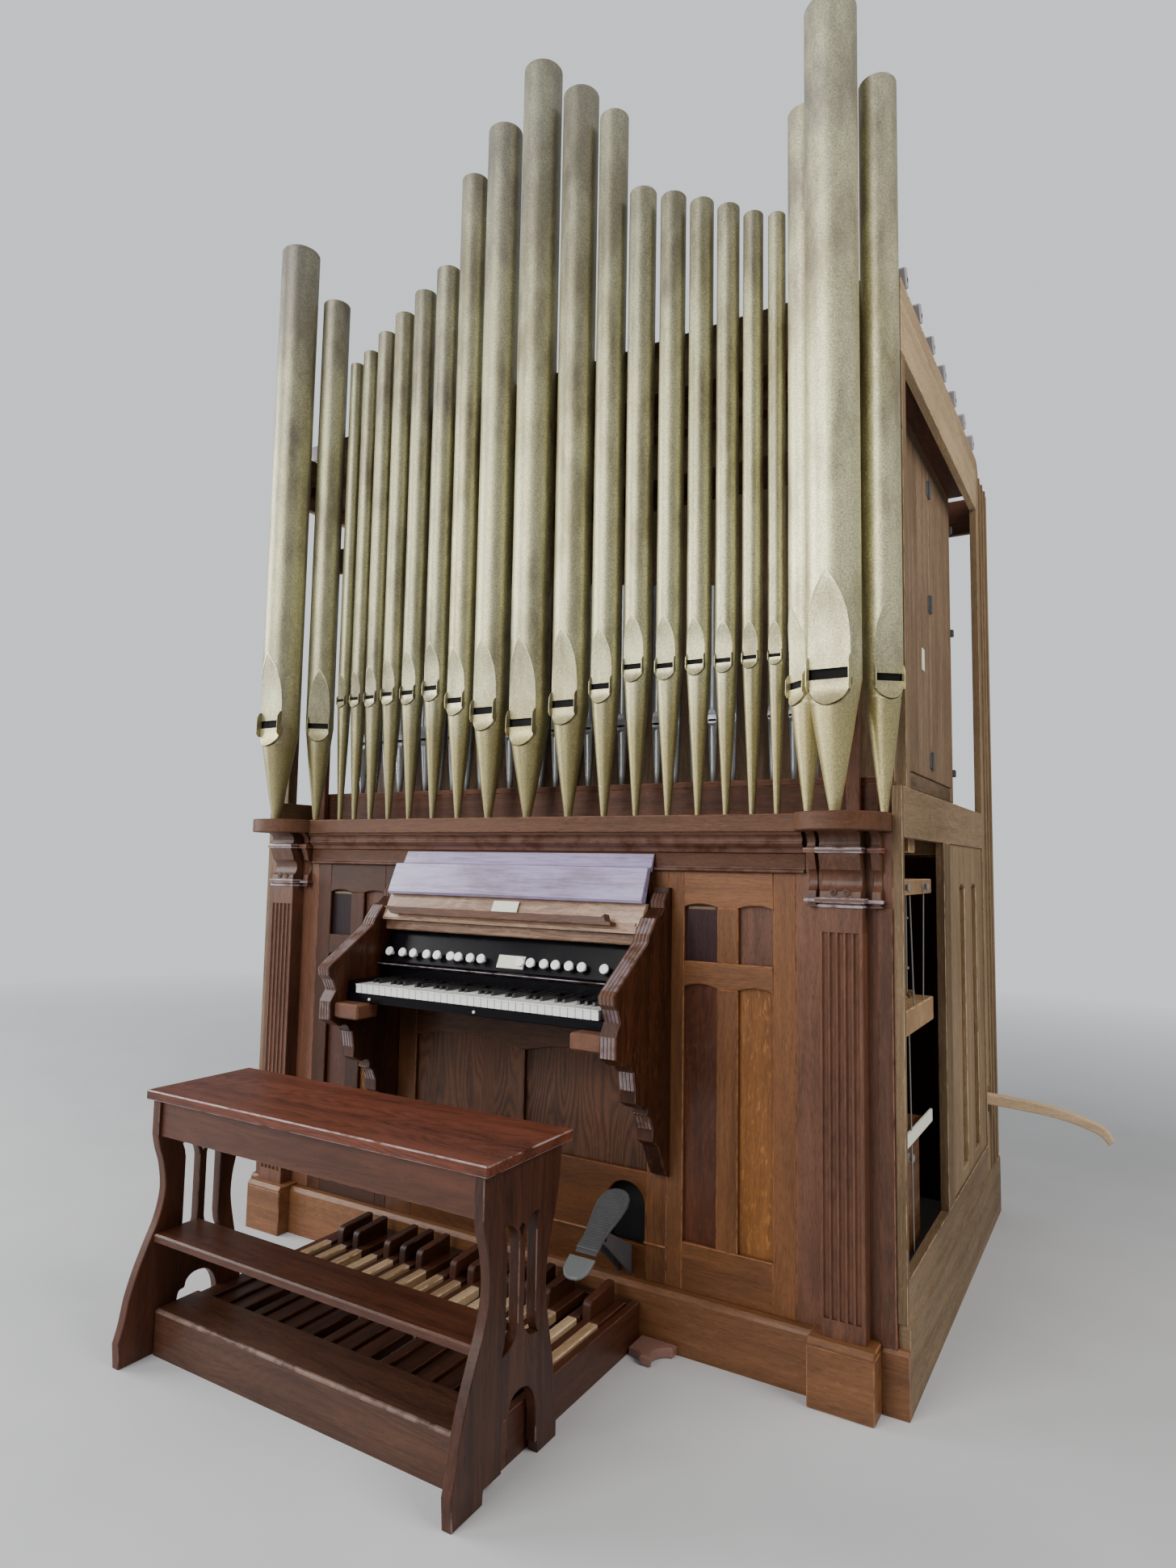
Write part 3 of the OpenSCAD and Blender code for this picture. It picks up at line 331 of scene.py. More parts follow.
finishes.update({
    "bronze_pipe": bronze("bronze paint"),
    # The next two are the same bronze in painted shade and in painted light.
    "bronze_painted_shade": bronze("bronze paint in painted shade", 0.84),
    "bronze_painted_light": bronze("bronze paint in painted light", 1.55),
    "lit_lip_paint": bronze("lip paint with painted light", 1.7),
    "zinc": plain("dull zinc", (0.56, 0.58, 0.62), 0.30, 0.75, 50.0, 0.22),
    "wire": plain("bare wire", (0.30, 0.29, 0.26), 0.42, 0.25, 90.0, 0.2),
    "shoe_iron": plain("worn iron", (0.150, 0.150, 0.155), 0.46, 0.4, 240.0, 0.3, 0.0010),
    "ivory": plain("old ivory", (0.98, 0.99, 0.97), 0.22, 0.0, 40.0, 0.07, 0.0001, 0.4),
    "ebony": plain("ebony", (0.020, 0.018, 0.018), 0.28, 0.0, 200.0, 0.25, 0.0002, 0.3),
    "black_wood": plain("black lacquer", (0.004, 0.003, 0.005), 0.26, 0.0, 120.0, 0.3, 0.0002, 0.0, 0.14),
    "heel_rubber": plain("worn heel pad", (0.20, 0.215, 0.215), 0.34, 0.1, 120.0, 0.2, 0.0004),
    "painted_lip_shadow": plain("painted shadow under a lip", (0.085, 0.068, 0.045), 0.8, 0.0, 120.0, 0.3),
    "tip_grey": plain("pale grey shade tip", (0.50, 0.47, 0.50), 0.45, 0.0, 90.0, 0.25),
    # The black inside finish is painted shade: in the pipes' mouths, on the shade tips and behind the shoe.
    "inside": plain("soot-dark inside", (0.006, 0.005, 0.005), 0.9, 0.0, 80.0, 0.3),
    "card": plain("old card", (0.86, 0.87, 0.72), 0.7, 0.0, 30.0, 0.1),
})
print(len(finishes), "finishes")

# %% [markdown]
# Each piece of the organ is one mesh made of many parts, such as the boards of a frame. A part is plain
# lists of corners and faces in millimetres. The workpiece collects them, turns each one's place into grain
# coordinates, and finishes as a Blender object that rides on its body and stands for its CAD nodes.

# %% The workpiece
AXES = {"x": (0, 1, 2), "y": (1, 0, 2), "z": (2, 0, 1)}
CREASE = math.radians(28)
EDGE_W, EDGE_L = 0.0048, 0.03


class Workpiece:
    """Parts that together make one piece, each with its own grain and tone."""

    def __init__(self, name):
        self.name, self.chance = name, random.Random(name)
        self.corners, self.faces, self.grain, self.tone, self.edge_wear_and_glint = [], [], [], [], []

    def add(self, part, along="z", place=None, tone=None, edge_wear_and_glint=1.0):
        """One more part, with its fibres along an axis and its edge wear and painted glint from 0 to 1."""
        corners, faces = part
        start = len(self.corners)
        turn = AXES[along]
        offset = [self.chance.uniform(-9, 9) for _ in range(3)]
        shade = self.chance.uniform(-1, 1) if tone is None else tone
        for c in corners:
            self.grain += [c[turn[k]] * MM + offset[k] for k in range(3)]
            spot = place @ Vector(c) if place else c
            self.corners.append(tuple(v * MM for v in spot))
        self.tone += [shade] * len(corners)
        self.faces += [tuple(i + start for i in face) for face in faces]
        self.edge_wear_and_glint += [edge_wear_and_glint] * len(faces)
        return self

    def twin(self, part, along="z", place=None, tone=None, edge_wear_and_glint=1.0):
        """The part and its mirror image across the middle of the case."""
        corners, faces = part
        if place:
            corners, place = [tuple(place @ Vector(c)) for c in corners], None
        self.add((corners, faces), along, None, tone, edge_wear_and_glint)
        mirrored = [(-c[0], c[1], c[2]) for c in corners], [tuple(reversed(face)) for face in faces]
        return self.add(mirrored, along, None, tone, edge_wear_and_glint)

    def finish(self, finish, slot, body="case", replaces=(), crease=CREASE):
        """The mesh of all parts. Long narrow faces are the softened edges, pale from wear and painted
        highlight.
        """
        mesh = bpy.data.meshes.new(self.name)
        mesh.from_pydata(self.corners, [], self.faces)
        mesh.attributes.new("grain", "FLOAT_VECTOR", "POINT").data.foreach_set("vector", self.grain)
        mesh.attributes.new("tone", "FLOAT", "POINT").data.foreach_set("value", self.tone)
        mesh.materials.append(finishes[finish])
        work = bmesh.new()
        work.from_mesh(mesh)
        bmesh.ops.recalc_face_normals(work, faces=work.faces)
        for face in work.faces:
            face.smooth = True
        for edge in work.edges:
            edge.smooth = len(edge.link_faces) == 2 and edge.calc_face_angle() < crease
        narrow = []
        for flag, face in zip(self.edge_wear_and_glint, work.faces):
            long_side = max(edge.calc_length() for edge in face.edges)
            thin = len(face.verts) == 4 and long_side > EDGE_L and face.calc_area() < EDGE_W * long_side
            narrow.append(flag * thin)
        work.to_mesh(mesh)
        work.free()
        mesh.attributes.new("edge", "FLOAT", "FACE").data.foreach_set("value", narrow)
        piece = bpy.data.objects.new(self.name, mesh)
        bpy.context.scene.collection.objects.link(piece)
        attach(piece, body)
        if replaces:
            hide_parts(*replaces)
        print(f"{self.name}: {len(self.faces)} faces")


# The pale colour of these edges is partly wear and partly painted highlight.
print("edges narrower than", EDGE_W / MM, "mm and longer than", EDGE_L / MM, "mm look worn")

# %% [markdown]
# Four kinds of part make nearly all of the case. The first two are plain joinery. A board is a box with its
# edges taken off. A cut part is an outline given a thickness, with holes and softened edges.

# %% Boards and cut parts
def from_bmesh(work):
    """A bmesh as a part: its corners and faces."""
    work.verts.index_update()
    part = [tuple(v.co) for v in work.verts], [tuple(v.index for v in f.verts) for f in work.faces]
    work.free()
    return part


def board(a, b, soft=1.5):
    """A board between two opposite corners, with its edges taken off by soft."""
    work = bmesh.new()
    bmesh.ops.create_cube(work, size=1)
    size = [abs(b[k] - a[k]) for k in range(3)]
    for v in work.verts:
        v.co = [(a[k] + b[k]) / 2 + v.co[k] * size[k] for k in range(3)]
    if soft:
        bmesh.ops.bevel(work, geom=work.edges[:], offset=min(soft, 0.3 * min(size)), segments=1,
                        affect="EDGES")
    return from_bmesh(work)


PLANES = {
    "x": lambda u, v, w: (w, u, v),
    "y": lambda u, v, w: (u, w, v),
    "z": lambda u, v, w: (u, v, w),
}


def cut(outline, holes, plane, w0, w1, soft=1.0):
    """An outline with holes in a plane, given a thickness from w0 to w1, with softened rims."""
    work = bmesh.new()
    rims = []
    for loop in [outline, *holes]:
        verts = [work.verts.new((u, v, 0)) for u, v in loop]
        rims += [work.edges.new((verts[k - 1], verts[k])) for k in range(len(verts))]
    if holes:
        bmesh.ops.triangle_fill(work, use_beauty=True, use_dissolve=False, edges=rims)
    else:
        work.faces.new(work.verts)
    solid = bmesh.ops.extrude_face_region(work, geom=work.faces[:])
    top = [v for v in solid["geom"] if isinstance(v, bmesh.types.BMVert)]
    for v in top:
        v.co.z = w1 - w0
    if soft:
        bmesh.ops.recalc_face_normals(work, faces=work.faces)
        ends = [e for e in work.edges if abs(e.verts[0].co.z - e.verts[1].co.z) < 1e-6
                and e.calc_face_angle(0) > 0.5]
        bmesh.ops.bevel(work, geom=ends, offset=soft, segments=1, affect="EDGES", clamp_overlap=True)
    turn = PLANES[plane]
    for v in work.verts:
        v.co = turn(v.co.x, v.co.y, w0 + v.co.z)
    return from_bmesh(work)


def arc(cx, cy, r, a0, a1, steps):
    """Points on a circle from angle a0 to a1, in degrees."""
    return [(cx + r * math.cos(math.radians(a0 + (a1 - a0) * k / steps)),
             cy + r * math.sin(math.radians(a0 + (a1 - a0) * k / steps))) for k in range(steps + 1)]


def arched(x0, x1, z0, z1, rise, steps=10):
    """The outline of an opening with a low arch at its top."""
    half = (x1 - x0) / 2
    r = (half * half + rise * rise) / (2 * rise)
    spread = math.degrees(math.asin(half / r))
    return [(x0, z0), (x1, z0)] + arc((x0 + x1) / 2, z1 - r, r, 90 - spread, 90 + spread, steps)


def rect(x0, x1, z0, z1):
    return [(x0, z0), (x1, z0), (x1, z1), (x0, z1)]


print("a plain board has", len(board((0, 0, 0), (100, 20, 500))[1]), "faces")

# %% [markdown]
# The other two kinds follow a line. A moulding is a small outline drawn along a path with mitred corners. A
# turned part is a half outline spun round an axis, as on a lathe.

# %% Mouldings and turned parts
def moulding(profile, path, normal):
    """A profile of (out, along the normal) points drawn along a flat path with mitred corners."""
    normal = Vector(normal).normalized()
    points = [Vector(p) for p in path]
    n, last = len(profile), len(points) - 1
    corners = []
    for k, p in enumerate(points):
        sides = [(points[j + 1] - points[j]).normalized() for j in (k - 1, k) if 0 <= j < last]
        outs = [s.cross(normal) for s in sides]
        out = sum(outs, Vector()) / (1 + outs[0].dot(outs[-1])) if len(outs) == 2 else outs[0]
        corners += [tuple(p + out * a + normal * b) for a, b in profile]
    faces = [(k * n + j, k * n + (j + 1) % n, (k + 1) * n + (j + 1) % n, (k + 1) * n + j)
             for k in range(last) for j in range(n)]
    return corners, faces + [tuple(range(n))[::-1], tuple(last * n + j for j in range(n))]


def turned(profile, place, steps=24):
    """A half outline of (radius, height) points spun round the Z axis of place."""
    corners, faces = [], []
    rings = []
    for r, h in profile:
        if r < 1e-6:
            rings.append([len(corners)] * steps)
            corners.append((0, 0, h))
        else:
            rings.append(list(range(len(corners), len(corners) + steps)))
            corners += [(r * math.cos(2 * math.pi * k / steps), r * math.sin(2 * math.pi * k / steps), h)
                        for k in range(steps)]
    for low, high in zip(rings, rings[1:]):
        for k in range(steps):
            j = (k + 1) % steps
            face = list(dict.fromkeys((low[k], low[j], high[j], high[k])))
            if len(face) > 2:
                faces.append(tuple(face))
    return [tuple(place @ Vector(c)) for c in corners], faces


def at(x, y, z, *turns):
    """A place: a shift after turns given as (axis, degrees)."""
    place = Matrix.Translation((x, y, z))
    for axis, degrees in turns:
        place = place @ Matrix.Rotation(math.radians(degrees), 4, axis)
    return place


print("part makers ready")

# %% [markdown]
# A show pipe is a tube on a long cone. Its mouth is a slot between two flattened lips, black because a dark
# box behind it is painted shade. The upper lip is a tall pointed leaf pressed into the tube, the lower one a
# half-round plate drawn bright as painted light. Every height of the pipe is one ring of points, part of it
# on the flat and the rest on the round, so the leaf's edge runs along the mesh and stays crisp.

# %% Rings of a pipe
FLAT = (-1, -0.95, -0.4, 0, 0.4, 0.95, 1)
ROUND, PIPE_CREASE = 40, math.radians(10.5)
LIP_W, SLOT_H, LIP_H = 0.78, 0.40, 0.94
TUBE_T, BORE = 2, 260


def ring(radius, half, z):
    """A ring of points with a flat of twice half at the front."""
    half = max(half, 0.04 * radius)
    start = math.asin(half / radius)
    turn = [start + (2 * math.pi - 2 * start) * k / ROUND for k in range(1, ROUND)]
    return ([(half * k, -math.sqrt(radius ** 2 - half ** 2), z) for k in FLAT]
            + [(radius * math.sin(a), -radius * math.cos(a), z) for a in turn])


def leaf_half(r, t):
    """Half the leaf's width at a part t of its height."""
    return LIP_W * r * (1 - t ** 3.8)


def pipe_body(r, mouth, top, leaf):
    """The tube and foot of one pipe, standing on the ledge at the origin."""
    tip, foot_h = max(8, 0.2 * r), mouth - ledge_z
    slot_top = mouth + SLOT_H * r
    rings = [ring(tip * 0.8, 0, ledge_z + 0.2), ring(tip, 0, ledge_z + 3)]
    for t in (0.25, 0.5, 0.75):
        z = ledge_z + (foot_h - LIP_H * r) * t
        rings.append(ring(tip + (r - tip) * (z - ledge_z) / foot_h, 0, z))
    for k in range(9):
        t = 1 - (k / 8) ** 0.7
        z = mouth - LIP_H * r * t
        half = LIP_W * r * math.sqrt(1 - t * t)
        rings.append(ring(tip + (r - 0.6 - tip) * (z - ledge_z) / foot_h, half, z))
    slot_ring = len(rings)
    rings += [ring(r, LIP_W * r, mouth + 0.5), ring(r, LIP_W * r, slot_top)]
    rings += [ring(r, leaf_half(r, t), slot_top + (leaf - SLOT_H * r) * t)
              for t in (0.15, 0.3, 0.45, 0.58, 0.68, 0.76, 0.83, 0.89, 0.94, 0.975, 1)]
    above = mouth + leaf
    rings += [ring(r, 0, above + (top - above) * t) for t in (0.25, 0.5, 0.75)]
    rings += [ring(r, 0, top - 1), ring(r - 0.8, 0, top)]
    rings += [ring(r - TUBE_T, 0, top - 0.5), ring(r - TUBE_T, 0, top - BORE)]
    corners = [c for one in rings for c in one]
    n, open_faces = len(rings[0]), range(1, len(FLAT) - 2)
    faces = [tuple(range(n))[::-1], tuple((len(rings) - 1) * n + j for j in range(n))]
    for k in range(len(rings) - 1):
        for j in range(n):
            if k == slot_ring and j in open_faces:
                continue
            faces.append((k * n + j, k * n + (j + 1) % n, (k + 1) * n + (j + 1) % n, (k + 1) * n + j))
    return corners, faces


def lower_lip(r, mouth, proud, grow=0.0):
    """The half-round plate below the mouth. A wider, flatter dark one behind it is painted shadow round its
    rim.
    """
    tip, foot_h = max(8, 0.2 * r), mouth - ledge_z
    corners, rows, n = [], 9, 9
    for k in range(rows + 1):
        t = math.sin(math.pi / 2 * k / rows)
        z = mouth - (LIP_H + grow) * r * t
        radius = tip + (r - tip) * (z - ledge_z) / foot_h
        half = max((LIP_W + grow) * r * math.sqrt(1 - t * t), 0.02 * r)
        depth = math.sqrt(max(radius ** 2 - half ** 2, 0))
        for out in (proud, -0.5):
            corners += [(half * (2 * j / (n - 1) - 1), -depth - out * (0.4 + 0.6 * t), z) for j in range(n)]
    faces = []
    for k in range(rows):
        a, b = 2 * n * k, 2 * n * (k + 1)
        for j in range(n - 1):
            faces += [(a + j, a + j + 1, b + j + 1, b + j),
                      (a + n + j + 1, a + n + j, b + n + j, b + n + j + 1)]
        faces += [(a, b, b + n, a + n), (a + n - 1, a + 2 * n - 1, b + 2 * n - 1, b + n - 1)]
    a = 2 * n * rows
    for j in range(n - 1):
        faces += [(j + 1, j, n + j, n + j + 1), (a + j, a + j + 1, a + n + j + 1, a + n + j)]
    return corners, faces


def leaf_line(r, mouth, leaf, side):
    """The pressed line along one flank of the leaf, from its middle up to the tip, drawn bright as painted
    highlight.
    """
    corners, steps = [], (0.62, 0.72, 0.8, 0.86, 0.91, 0.95, 0.98, 1)
    for k, t in enumerate(steps):
        half = max(leaf_half(r, t), 0.04 * r)
        inner, y = max(half - 0.06 * r * min(1, k / 3), 0), -math.sqrt(r * r - half * half)
        z = mouth + SLOT_H * r + (leaf - SLOT_H * r) * t
        corners += [(side * x, y + d, z) for x, d in ((half + 0.4, 0.3), (half + 0.2, -0.9), (inner, -0.9),
                                                      (inner, 0.3))]
    last = 4 * (len(steps) - 1)
    faces = [(0, 1, 2, 3), (last + 3, last + 2, last + 1, last)]
    for a in range(0, last, 4):
        faces += [(a + j, a + 4 + j, a + 4 + (j + 1) % 4, a + (j + 1) % 4) for j in range(4)]
    return corners, faces if side > 0 else [face[::-1] for face in faces]


def ear(r, mouth, side):
    """One of the thin plates that stand beside the mouth."""
    back, front = -0.56 * r, -0.9 * r
    low, high = mouth - 0.42 * r, mouth + 0.86 * r
    outline = [(back, low), (front + 0.12 * r, low), (front, low + 0.16 * r),
               (front + 0.02 * r, high - 0.3 * r), (front + 0.16 * r, high - 0.06 * r),
               (back - 0.08 * r, high), (back, high)]
    x, half_t = side * (LIP_W * r - 0.5), 1.3
    return cut(outline, [], "x", x - half_t, x + half_t, 0.4)


print("a pipe's ring has", len(ring(10, 5, 0)), "points")

# %% [markdown]
# The row falls from the tall middle pipe to short ones beside the towers. Each pipe is drawn from its
# radius, the height of its mouth and of its top, and the length of its leaf, all read from the photograph
# with the fitted camera. A tower is one stout pipe in front of two turned outward.

# %% The show pipes
radii = [63, 57, 45, 41, 38, 35, 32, 28, 24]
gaps = [29, 21, 19, 23, 19, 16, 15, 17]
tops = [3850, 3700, 3577, 3287, 3235, 3184, 3138, 3090, 3064]
mouths = [1676, 1725, 1771, 1821, 1815, 1818, 1815, 1817, 1817]
leaves = [280, 240, 180, 160, 150, 130, 115, 105, 100]
pipe_x = [0]
for k, gap in enumerate(gaps):
    pipe_x.append(pipe_x[-1] + radii[k] + radii[k + 1] + gap)
row = [(pipe_x[k], 28, radii[k], mouths[k], tops[k], leaves[k], 0) for k in range(9)]
tower = [(shaft_mid, -92, 67, 1714, 3481, 265, 0), (shaft_mid + 96, 2, 48, 1720, 3305, 210, 38),
         (shaft_mid - 96, 2, 48, 1720, 3305, 210, -38)]


def mirror(pipes):
    return [(-x, y, r, mouth, top, leaf, -turn) for x, y, r, mouth, top, leaf, turn in pipes]


pipe_sets = {
    "centre_pipes": row[:3] + mirror(row[1:3]),
    "flat_pipes_right": row[3:], "flat_pipes_left": mirror(row[3:]),
    "tower_pipes_right": tower, "tower_pipes_left": mirror(tower),
}
lips, lip_shadows, throats = [Workpiece("pipe_" + n) for n in ("lips_and_lines", "lip_seams", "throats")]
shade_and_light_paints = {"tower_pipes_left": "bronze_painted_shade", "flat_pipes_left": "bronze_painted_shade",
          "tower_pipes_right": "bronze_painted_light"}
for node, pipes in pipe_sets.items():
    tubes = Workpiece(node + "_tubes")
    for x, y, r, mouth, top, leaf, turn in pipes:
        spot = at(x, y, 0, ("Z", turn))
        shade = tubes.chance.uniform(-1, 1)
        tubes.add(pipe_body(r, mouth, top, leaf), "z", spot, shade)
        for side in (-1, 1):
            tubes.add(ear(r, mouth, side), "z", spot, shade - 0.6)
            lips.add(leaf_line(r, mouth, leaf, side), "z", spot, shade)
        lips.add(lower_lip(r, mouth, 2 + 0.06 * r), "z", spot, shade)
        # A wider dark copy behind each lower lip is painted shadow round its rim.
        lip_shadows.add(lower_lip(r, mouth, 1.4, 0.045), "z", spot)
        # A black box in each mouth is painted shade.
        throats.add(board((-0.7 * r, -0.5 * r, mouth - 0.1 * r), (0.7 * r, 0.1 * r, mouth + 0.5 * r), 0), "z",
                    spot)
    tubes.finish(shade_and_light_paints.get(node, "bronze_pipe"), "bronze_pipe", replaces=(node,), crease=PIPE_CREASE)
# The lips and lines are drawn bright: painted light.
lips.finish("lit_lip_paint", "bronze_pipe")
lip_shadows.finish("painted_lip_shadow", "bronze_pipe")
throats.finish("inside", "bronze_pipe")

# %% [markdown]
# The front is frame and panel work. Upright stiles run the full height, rails fit between them, and thin
# panels sit in grooves behind. Each opening ends in a low arch that is cut into the rail above it. Every
# board is its own part here, because the eye finds a joint by the change of grain. The left bay mirrors the
# right one and has a darker finish, because the photograph shows it in the key desk's shadow.

# %% Panelled front
frame_t, panel_back = 14, 26
bay_mid, opening_w, mullion = 671.5, 96, 60
bay_xs = (bay_mid - (opening_w + mullion) / 2, bay_mid + (opening_w + mullion) / 2)
tall_z, small_z = (272, 945, 9), (1005, 1158, 8)
knee_spans = [(-390, 20), (30, 440)]
knee_z = (430, 735, 26)
shoe_x, shoe_half, shoe_sill, shoe_crown = 376, 59, 237, 396


def arched_rail(x0, x1, low, high, spans, rise):
    """A rail's outline whose lower edge rises into a low arch over each span."""
    outline = [(x0, high), (x0, low)]
    for a, b in spans:
        half = (b - a) / 2
        r = (half * half + rise * rise) / (2 * rise)
        spread = math.degrees(math.asin(half / r))
        outline += arc((a + b) / 2, low + rise - r, r, 90 + spread, 90 - spread, 12)
    return outline + [(x1, low), (x1, high)]


bay_spans = [(x - opening_w / 2, x + opening_w / 2) for x in bay_xs]
bay_x0, bay_x1 = bay_spans[0][0], bay_spans[1][1]
front, front_left = Workpiece("front_framing"), Workpiece("front_framing_left")
MIRROR = Matrix.Diagonal((-1, 1, 1, 1))
for framing, side in ((front, None), (front_left, MIRROR)):
    for x0, x1 in ((knee_x, bay_x0), (bay_x1, pilaster_x)):
        framing.add(board((x0, 0, plinth_h), (x1, frame_t, frieze_z), 2), "z", side, 0.5)
    framing.add(board((bay_x0, 0, plinth_h), (bay_x1, frame_t, tall_z[0]), 2), "x", side, 0.1)
    for (z0, z1, rise), above in ((tall_z, small_z[0]), (small_z, frieze_z)):
        framing.add(cut(arched_rail(bay_x0, bay_x1, z1 - rise, above, bay_spans, rise), [], "y", 0, frame_t,
                        2.5), "x", side, 0.3)
        framing.add(board((bay_spans[0][1], 0, z0), (bay_spans[1][0], frame_t, z1 - rise), 2.5), "z", side)
knee_low, knee_high = knee_spans[0][0], knee_spans[1][1]
# The knee framing's darker finish is painted shade under the key bed.
knee = Workpiece("knee_framing")
knee.add(board((-knee_x, 0, plinth_h), (knee_low, frame_t, frieze_z), 2), "z", tone=0.2)
front.add(board((knee_high, 0, plinth_h), (knee_x, frame_t, frieze_z), 2), "z", tone=-0.4)
knee.add(board((knee_spans[0][1], 0, knee_z[0]), (knee_spans[1][0], frame_t, knee_z[1] - knee_z[2]), 1), "z")
knee.add(cut(arched_rail(knee_low, knee_high, knee_z[1] - knee_z[2], frieze_z, knee_spans, knee_z[2]), [],
             "y", 0, frame_t, 2), "x", tone=-0.6)
knee.finish("knee_oak", "light_oak", replaces=("knee_frame",))
shoe_x0, shoe_x1, bead_z = shoe_x - shoe_half, shoe_x + shoe_half, 243
low_row = Workpiece("knee_low_boards")
low_row.add(cut([(knee_low, plinth_h), (knee_high, plinth_h), (knee_high, bead_z), (shoe_x1, bead_z),
                 (shoe_x1, shoe_sill), (shoe_x0, shoe_sill), (shoe_x0, bead_z), (knee_low, bead_z)],
                [], "y", 0, frame_t, 1), "x", tone=0.2)
shoe_arch = arc(shoe_x, shoe_crown - shoe_half, shoe_half, 180, 0, 16)
low_row.add(cut([(knee_low, bead_z), (shoe_x0, bead_z)] + shoe_arch
                + [(shoe_x1, bead_z), (knee_high, bead_z), (knee_high, knee_z[0]), (knee_low, knee_z[0])],
                [], "y", 0, frame_t, 2), "x", tone=0.9)
bead = [(0, 0), (-3, 0.5), (-5, 3.5), (-3, 6.5), (0, 7)]
for x0, x1 in ((-knee_x, shoe_x0), (shoe_x1, knee_x)):
    low_row.add(cut([(y, z + bead_z) for y, z in bead], [], "x", x0, x1, 0), "x", tone=1)
# The low row's lighter amber finish is painted light low on the front.
low_row.finish("amber_oak", "light_oak")
front.finish("light_oak", "light_oak", replaces=("front_bays",))
front_left.finish("shaded_oak", "light_oak")

# %% [markdown]
# The panels do not match. In both bays the small panel on the left is a dark violet-brown under thick
# varnish, and the tall one below it is darker than its neighbour, so they get finishes of their own. The left
# bay's tall panels share its shadow and are a few shades darker. The two wide panels under the keys show the
# bold figure of quarter-sawn oak.

# %% Panels
finishes.update({
    "panel_oak": wood("panel oak", (0.120, 0.048, 0.015), (0.320, 0.148, 0.050), 0.4, 26.0, 0.4, 0.15),
    "deep_oak": wood("deep panel oak", (0.052, 0.017, 0.009), (0.160, 0.052, 0.023), 0.2, 26.0, 0.38, 0.2),
    "violet_oak": wood("violet panel oak", (0.016, 0.010, 0.020), (0.044, 0.023, 0.032), 0.0, 30.0, 0.30, 0.1,
                       shine=0.2),
})
lap, shadow = 12, -2.4


def bay_panel(x, z):
    half = opening_w / 2 + lap
    return board((x - half, frame_t, z[0] - lap), (x + half, panel_back, z[1] + lap), 1)


panels = Workpiece("bay_panels")
small = Workpiece("small_panels")
for x in (bay_xs[1], -bay_xs[0]):
    panels.add(bay_panel(x, tall_z), tone=0 if x > 0 else shadow)
    small.add(bay_panel(x, small_z))
panels.finish("panel_oak", "light_oak", replaces=("front_panels",))
small.finish("oak", "light_oak")
deep = Workpiece("deep_panels")
deep.add(bay_panel(bay_xs[0], tall_z)).add(bay_panel(-bay_xs[1], tall_z), tone=shadow)
deep.finish("deep_oak", "light_oak")
violet = Workpiece("violet_panels")
violet.add(bay_panel(bay_xs[0], small_z)).add(bay_panel(-bay_xs[1], small_z))
violet.finish("violet_oak", "light_oak")
strips = Workpiece("panel_top_strips")
for x in (bay_xs[0], -bay_xs[1]):
    strips.add(board((x - 40, frame_t - 2, small_z[1] - 14), (x + 40, frame_t, small_z[1] - 7), 0.6), "x")
strips.finish("faded_oak", "light_oak")
knee_panels = Workpiece("knee_panels")
for x0, x1 in knee_spans:
    knee_panels.add(board((x0 - 6, frame_t, knee_z[0] - lap), (x1 + 6, panel_back, knee_z[1] + lap), 1), "z")
knee_panels.finish("figured_oak", "light_oak")

# %% [markdown]
# Plinths are thick boards with their upper edge planed off. The front one steps forward into a block below
# each pilaster. On the sides and at the back the plinths are taller and plainer.

# %% Plinths
block_x0, block_x1, block_out, block_h = side_x - 218, side_x - 59, 77, plinth_h + 8
plinth = Workpiece("front_plinth_boards")
plinth.add(cut([(9, 0), (-31, 0), (-31, 137), (-27, 144), (-21, plinth_h), (9, plinth_h)], [], "x", -block_x0,
               block_x0, 1), "x", tone=0.5)
plinth.twin(board((block_x0, -block_out, 0), (block_x1, 0, block_h - 16), 3), "x", tone=0.3)
plinth.twin(cut([(0, 0), (-block_out, 0), (-block_out, 5), (-block_out + 9, 16), (0, 16)], [], "x", block_x0,
                block_x1, 3), "x", at(0, 0, block_h - 16), 0.6)
plinth.twin(cut([(9, 0), (-9, 0), (-9, plinth_h - 9), (-2, plinth_h), (9, plinth_h)], [], "x", block_x1,
                side_x + 4, 1), "x", tone=0.1)
plinth.finish("warm_oak", "oak", replaces=("front_plinth",))
side_plinth = Workpiece("side_plinth_boards")
side_plinth.twin(cut([(side_x - wall_t, 0), (side_x + 4, 0), (side_x + 4, side_plinth_h - 14),
                      (side_x - 6, side_plinth_h), (side_x - wall_t, side_plinth_h)], [], "y", 9, rear_y, 2),
                 "y")
side_plinth.finish("faded_oak", "faded_oak", replaces=("side_plinths",))

# %% [markdown]
# A pilaster is a flat backing board, a fluted shaft in front of it and a narrow strip at the case's corner.
# The flutes are half-round channels worked with a plane and stopped short of both ends, so the shaft is a
# plain block, a fluted length and a plain block again.

# %% Pilasters
shaft_w, shaft_out, shaft_z1 = 107, 50, frieze_z - 81
flutes, flute_r = 5, 7
flute_z0, flute_z1 = plinth_h + 50, shaft_z1 - 60


def shaft_plan(fluted):
    x0, x1 = shaft_mid - shaft_w / 2, shaft_mid + shaft_w / 2
    plan = [(x0, 0), (x0, -shaft_out + 2), (x0 + 2, -shaft_out)]
    if fluted:
        for k in range(flutes):
            mid = shaft_mid + (k - (flutes - 1) / 2) * shaft_w / (flutes + 0.6)
            plan += arc(mid, -shaft_out, flute_r, 180, 0, 8)
    return plan + [(x1 - 2, -shaft_out), (x1, -shaft_out + 2), (x1, 0)]


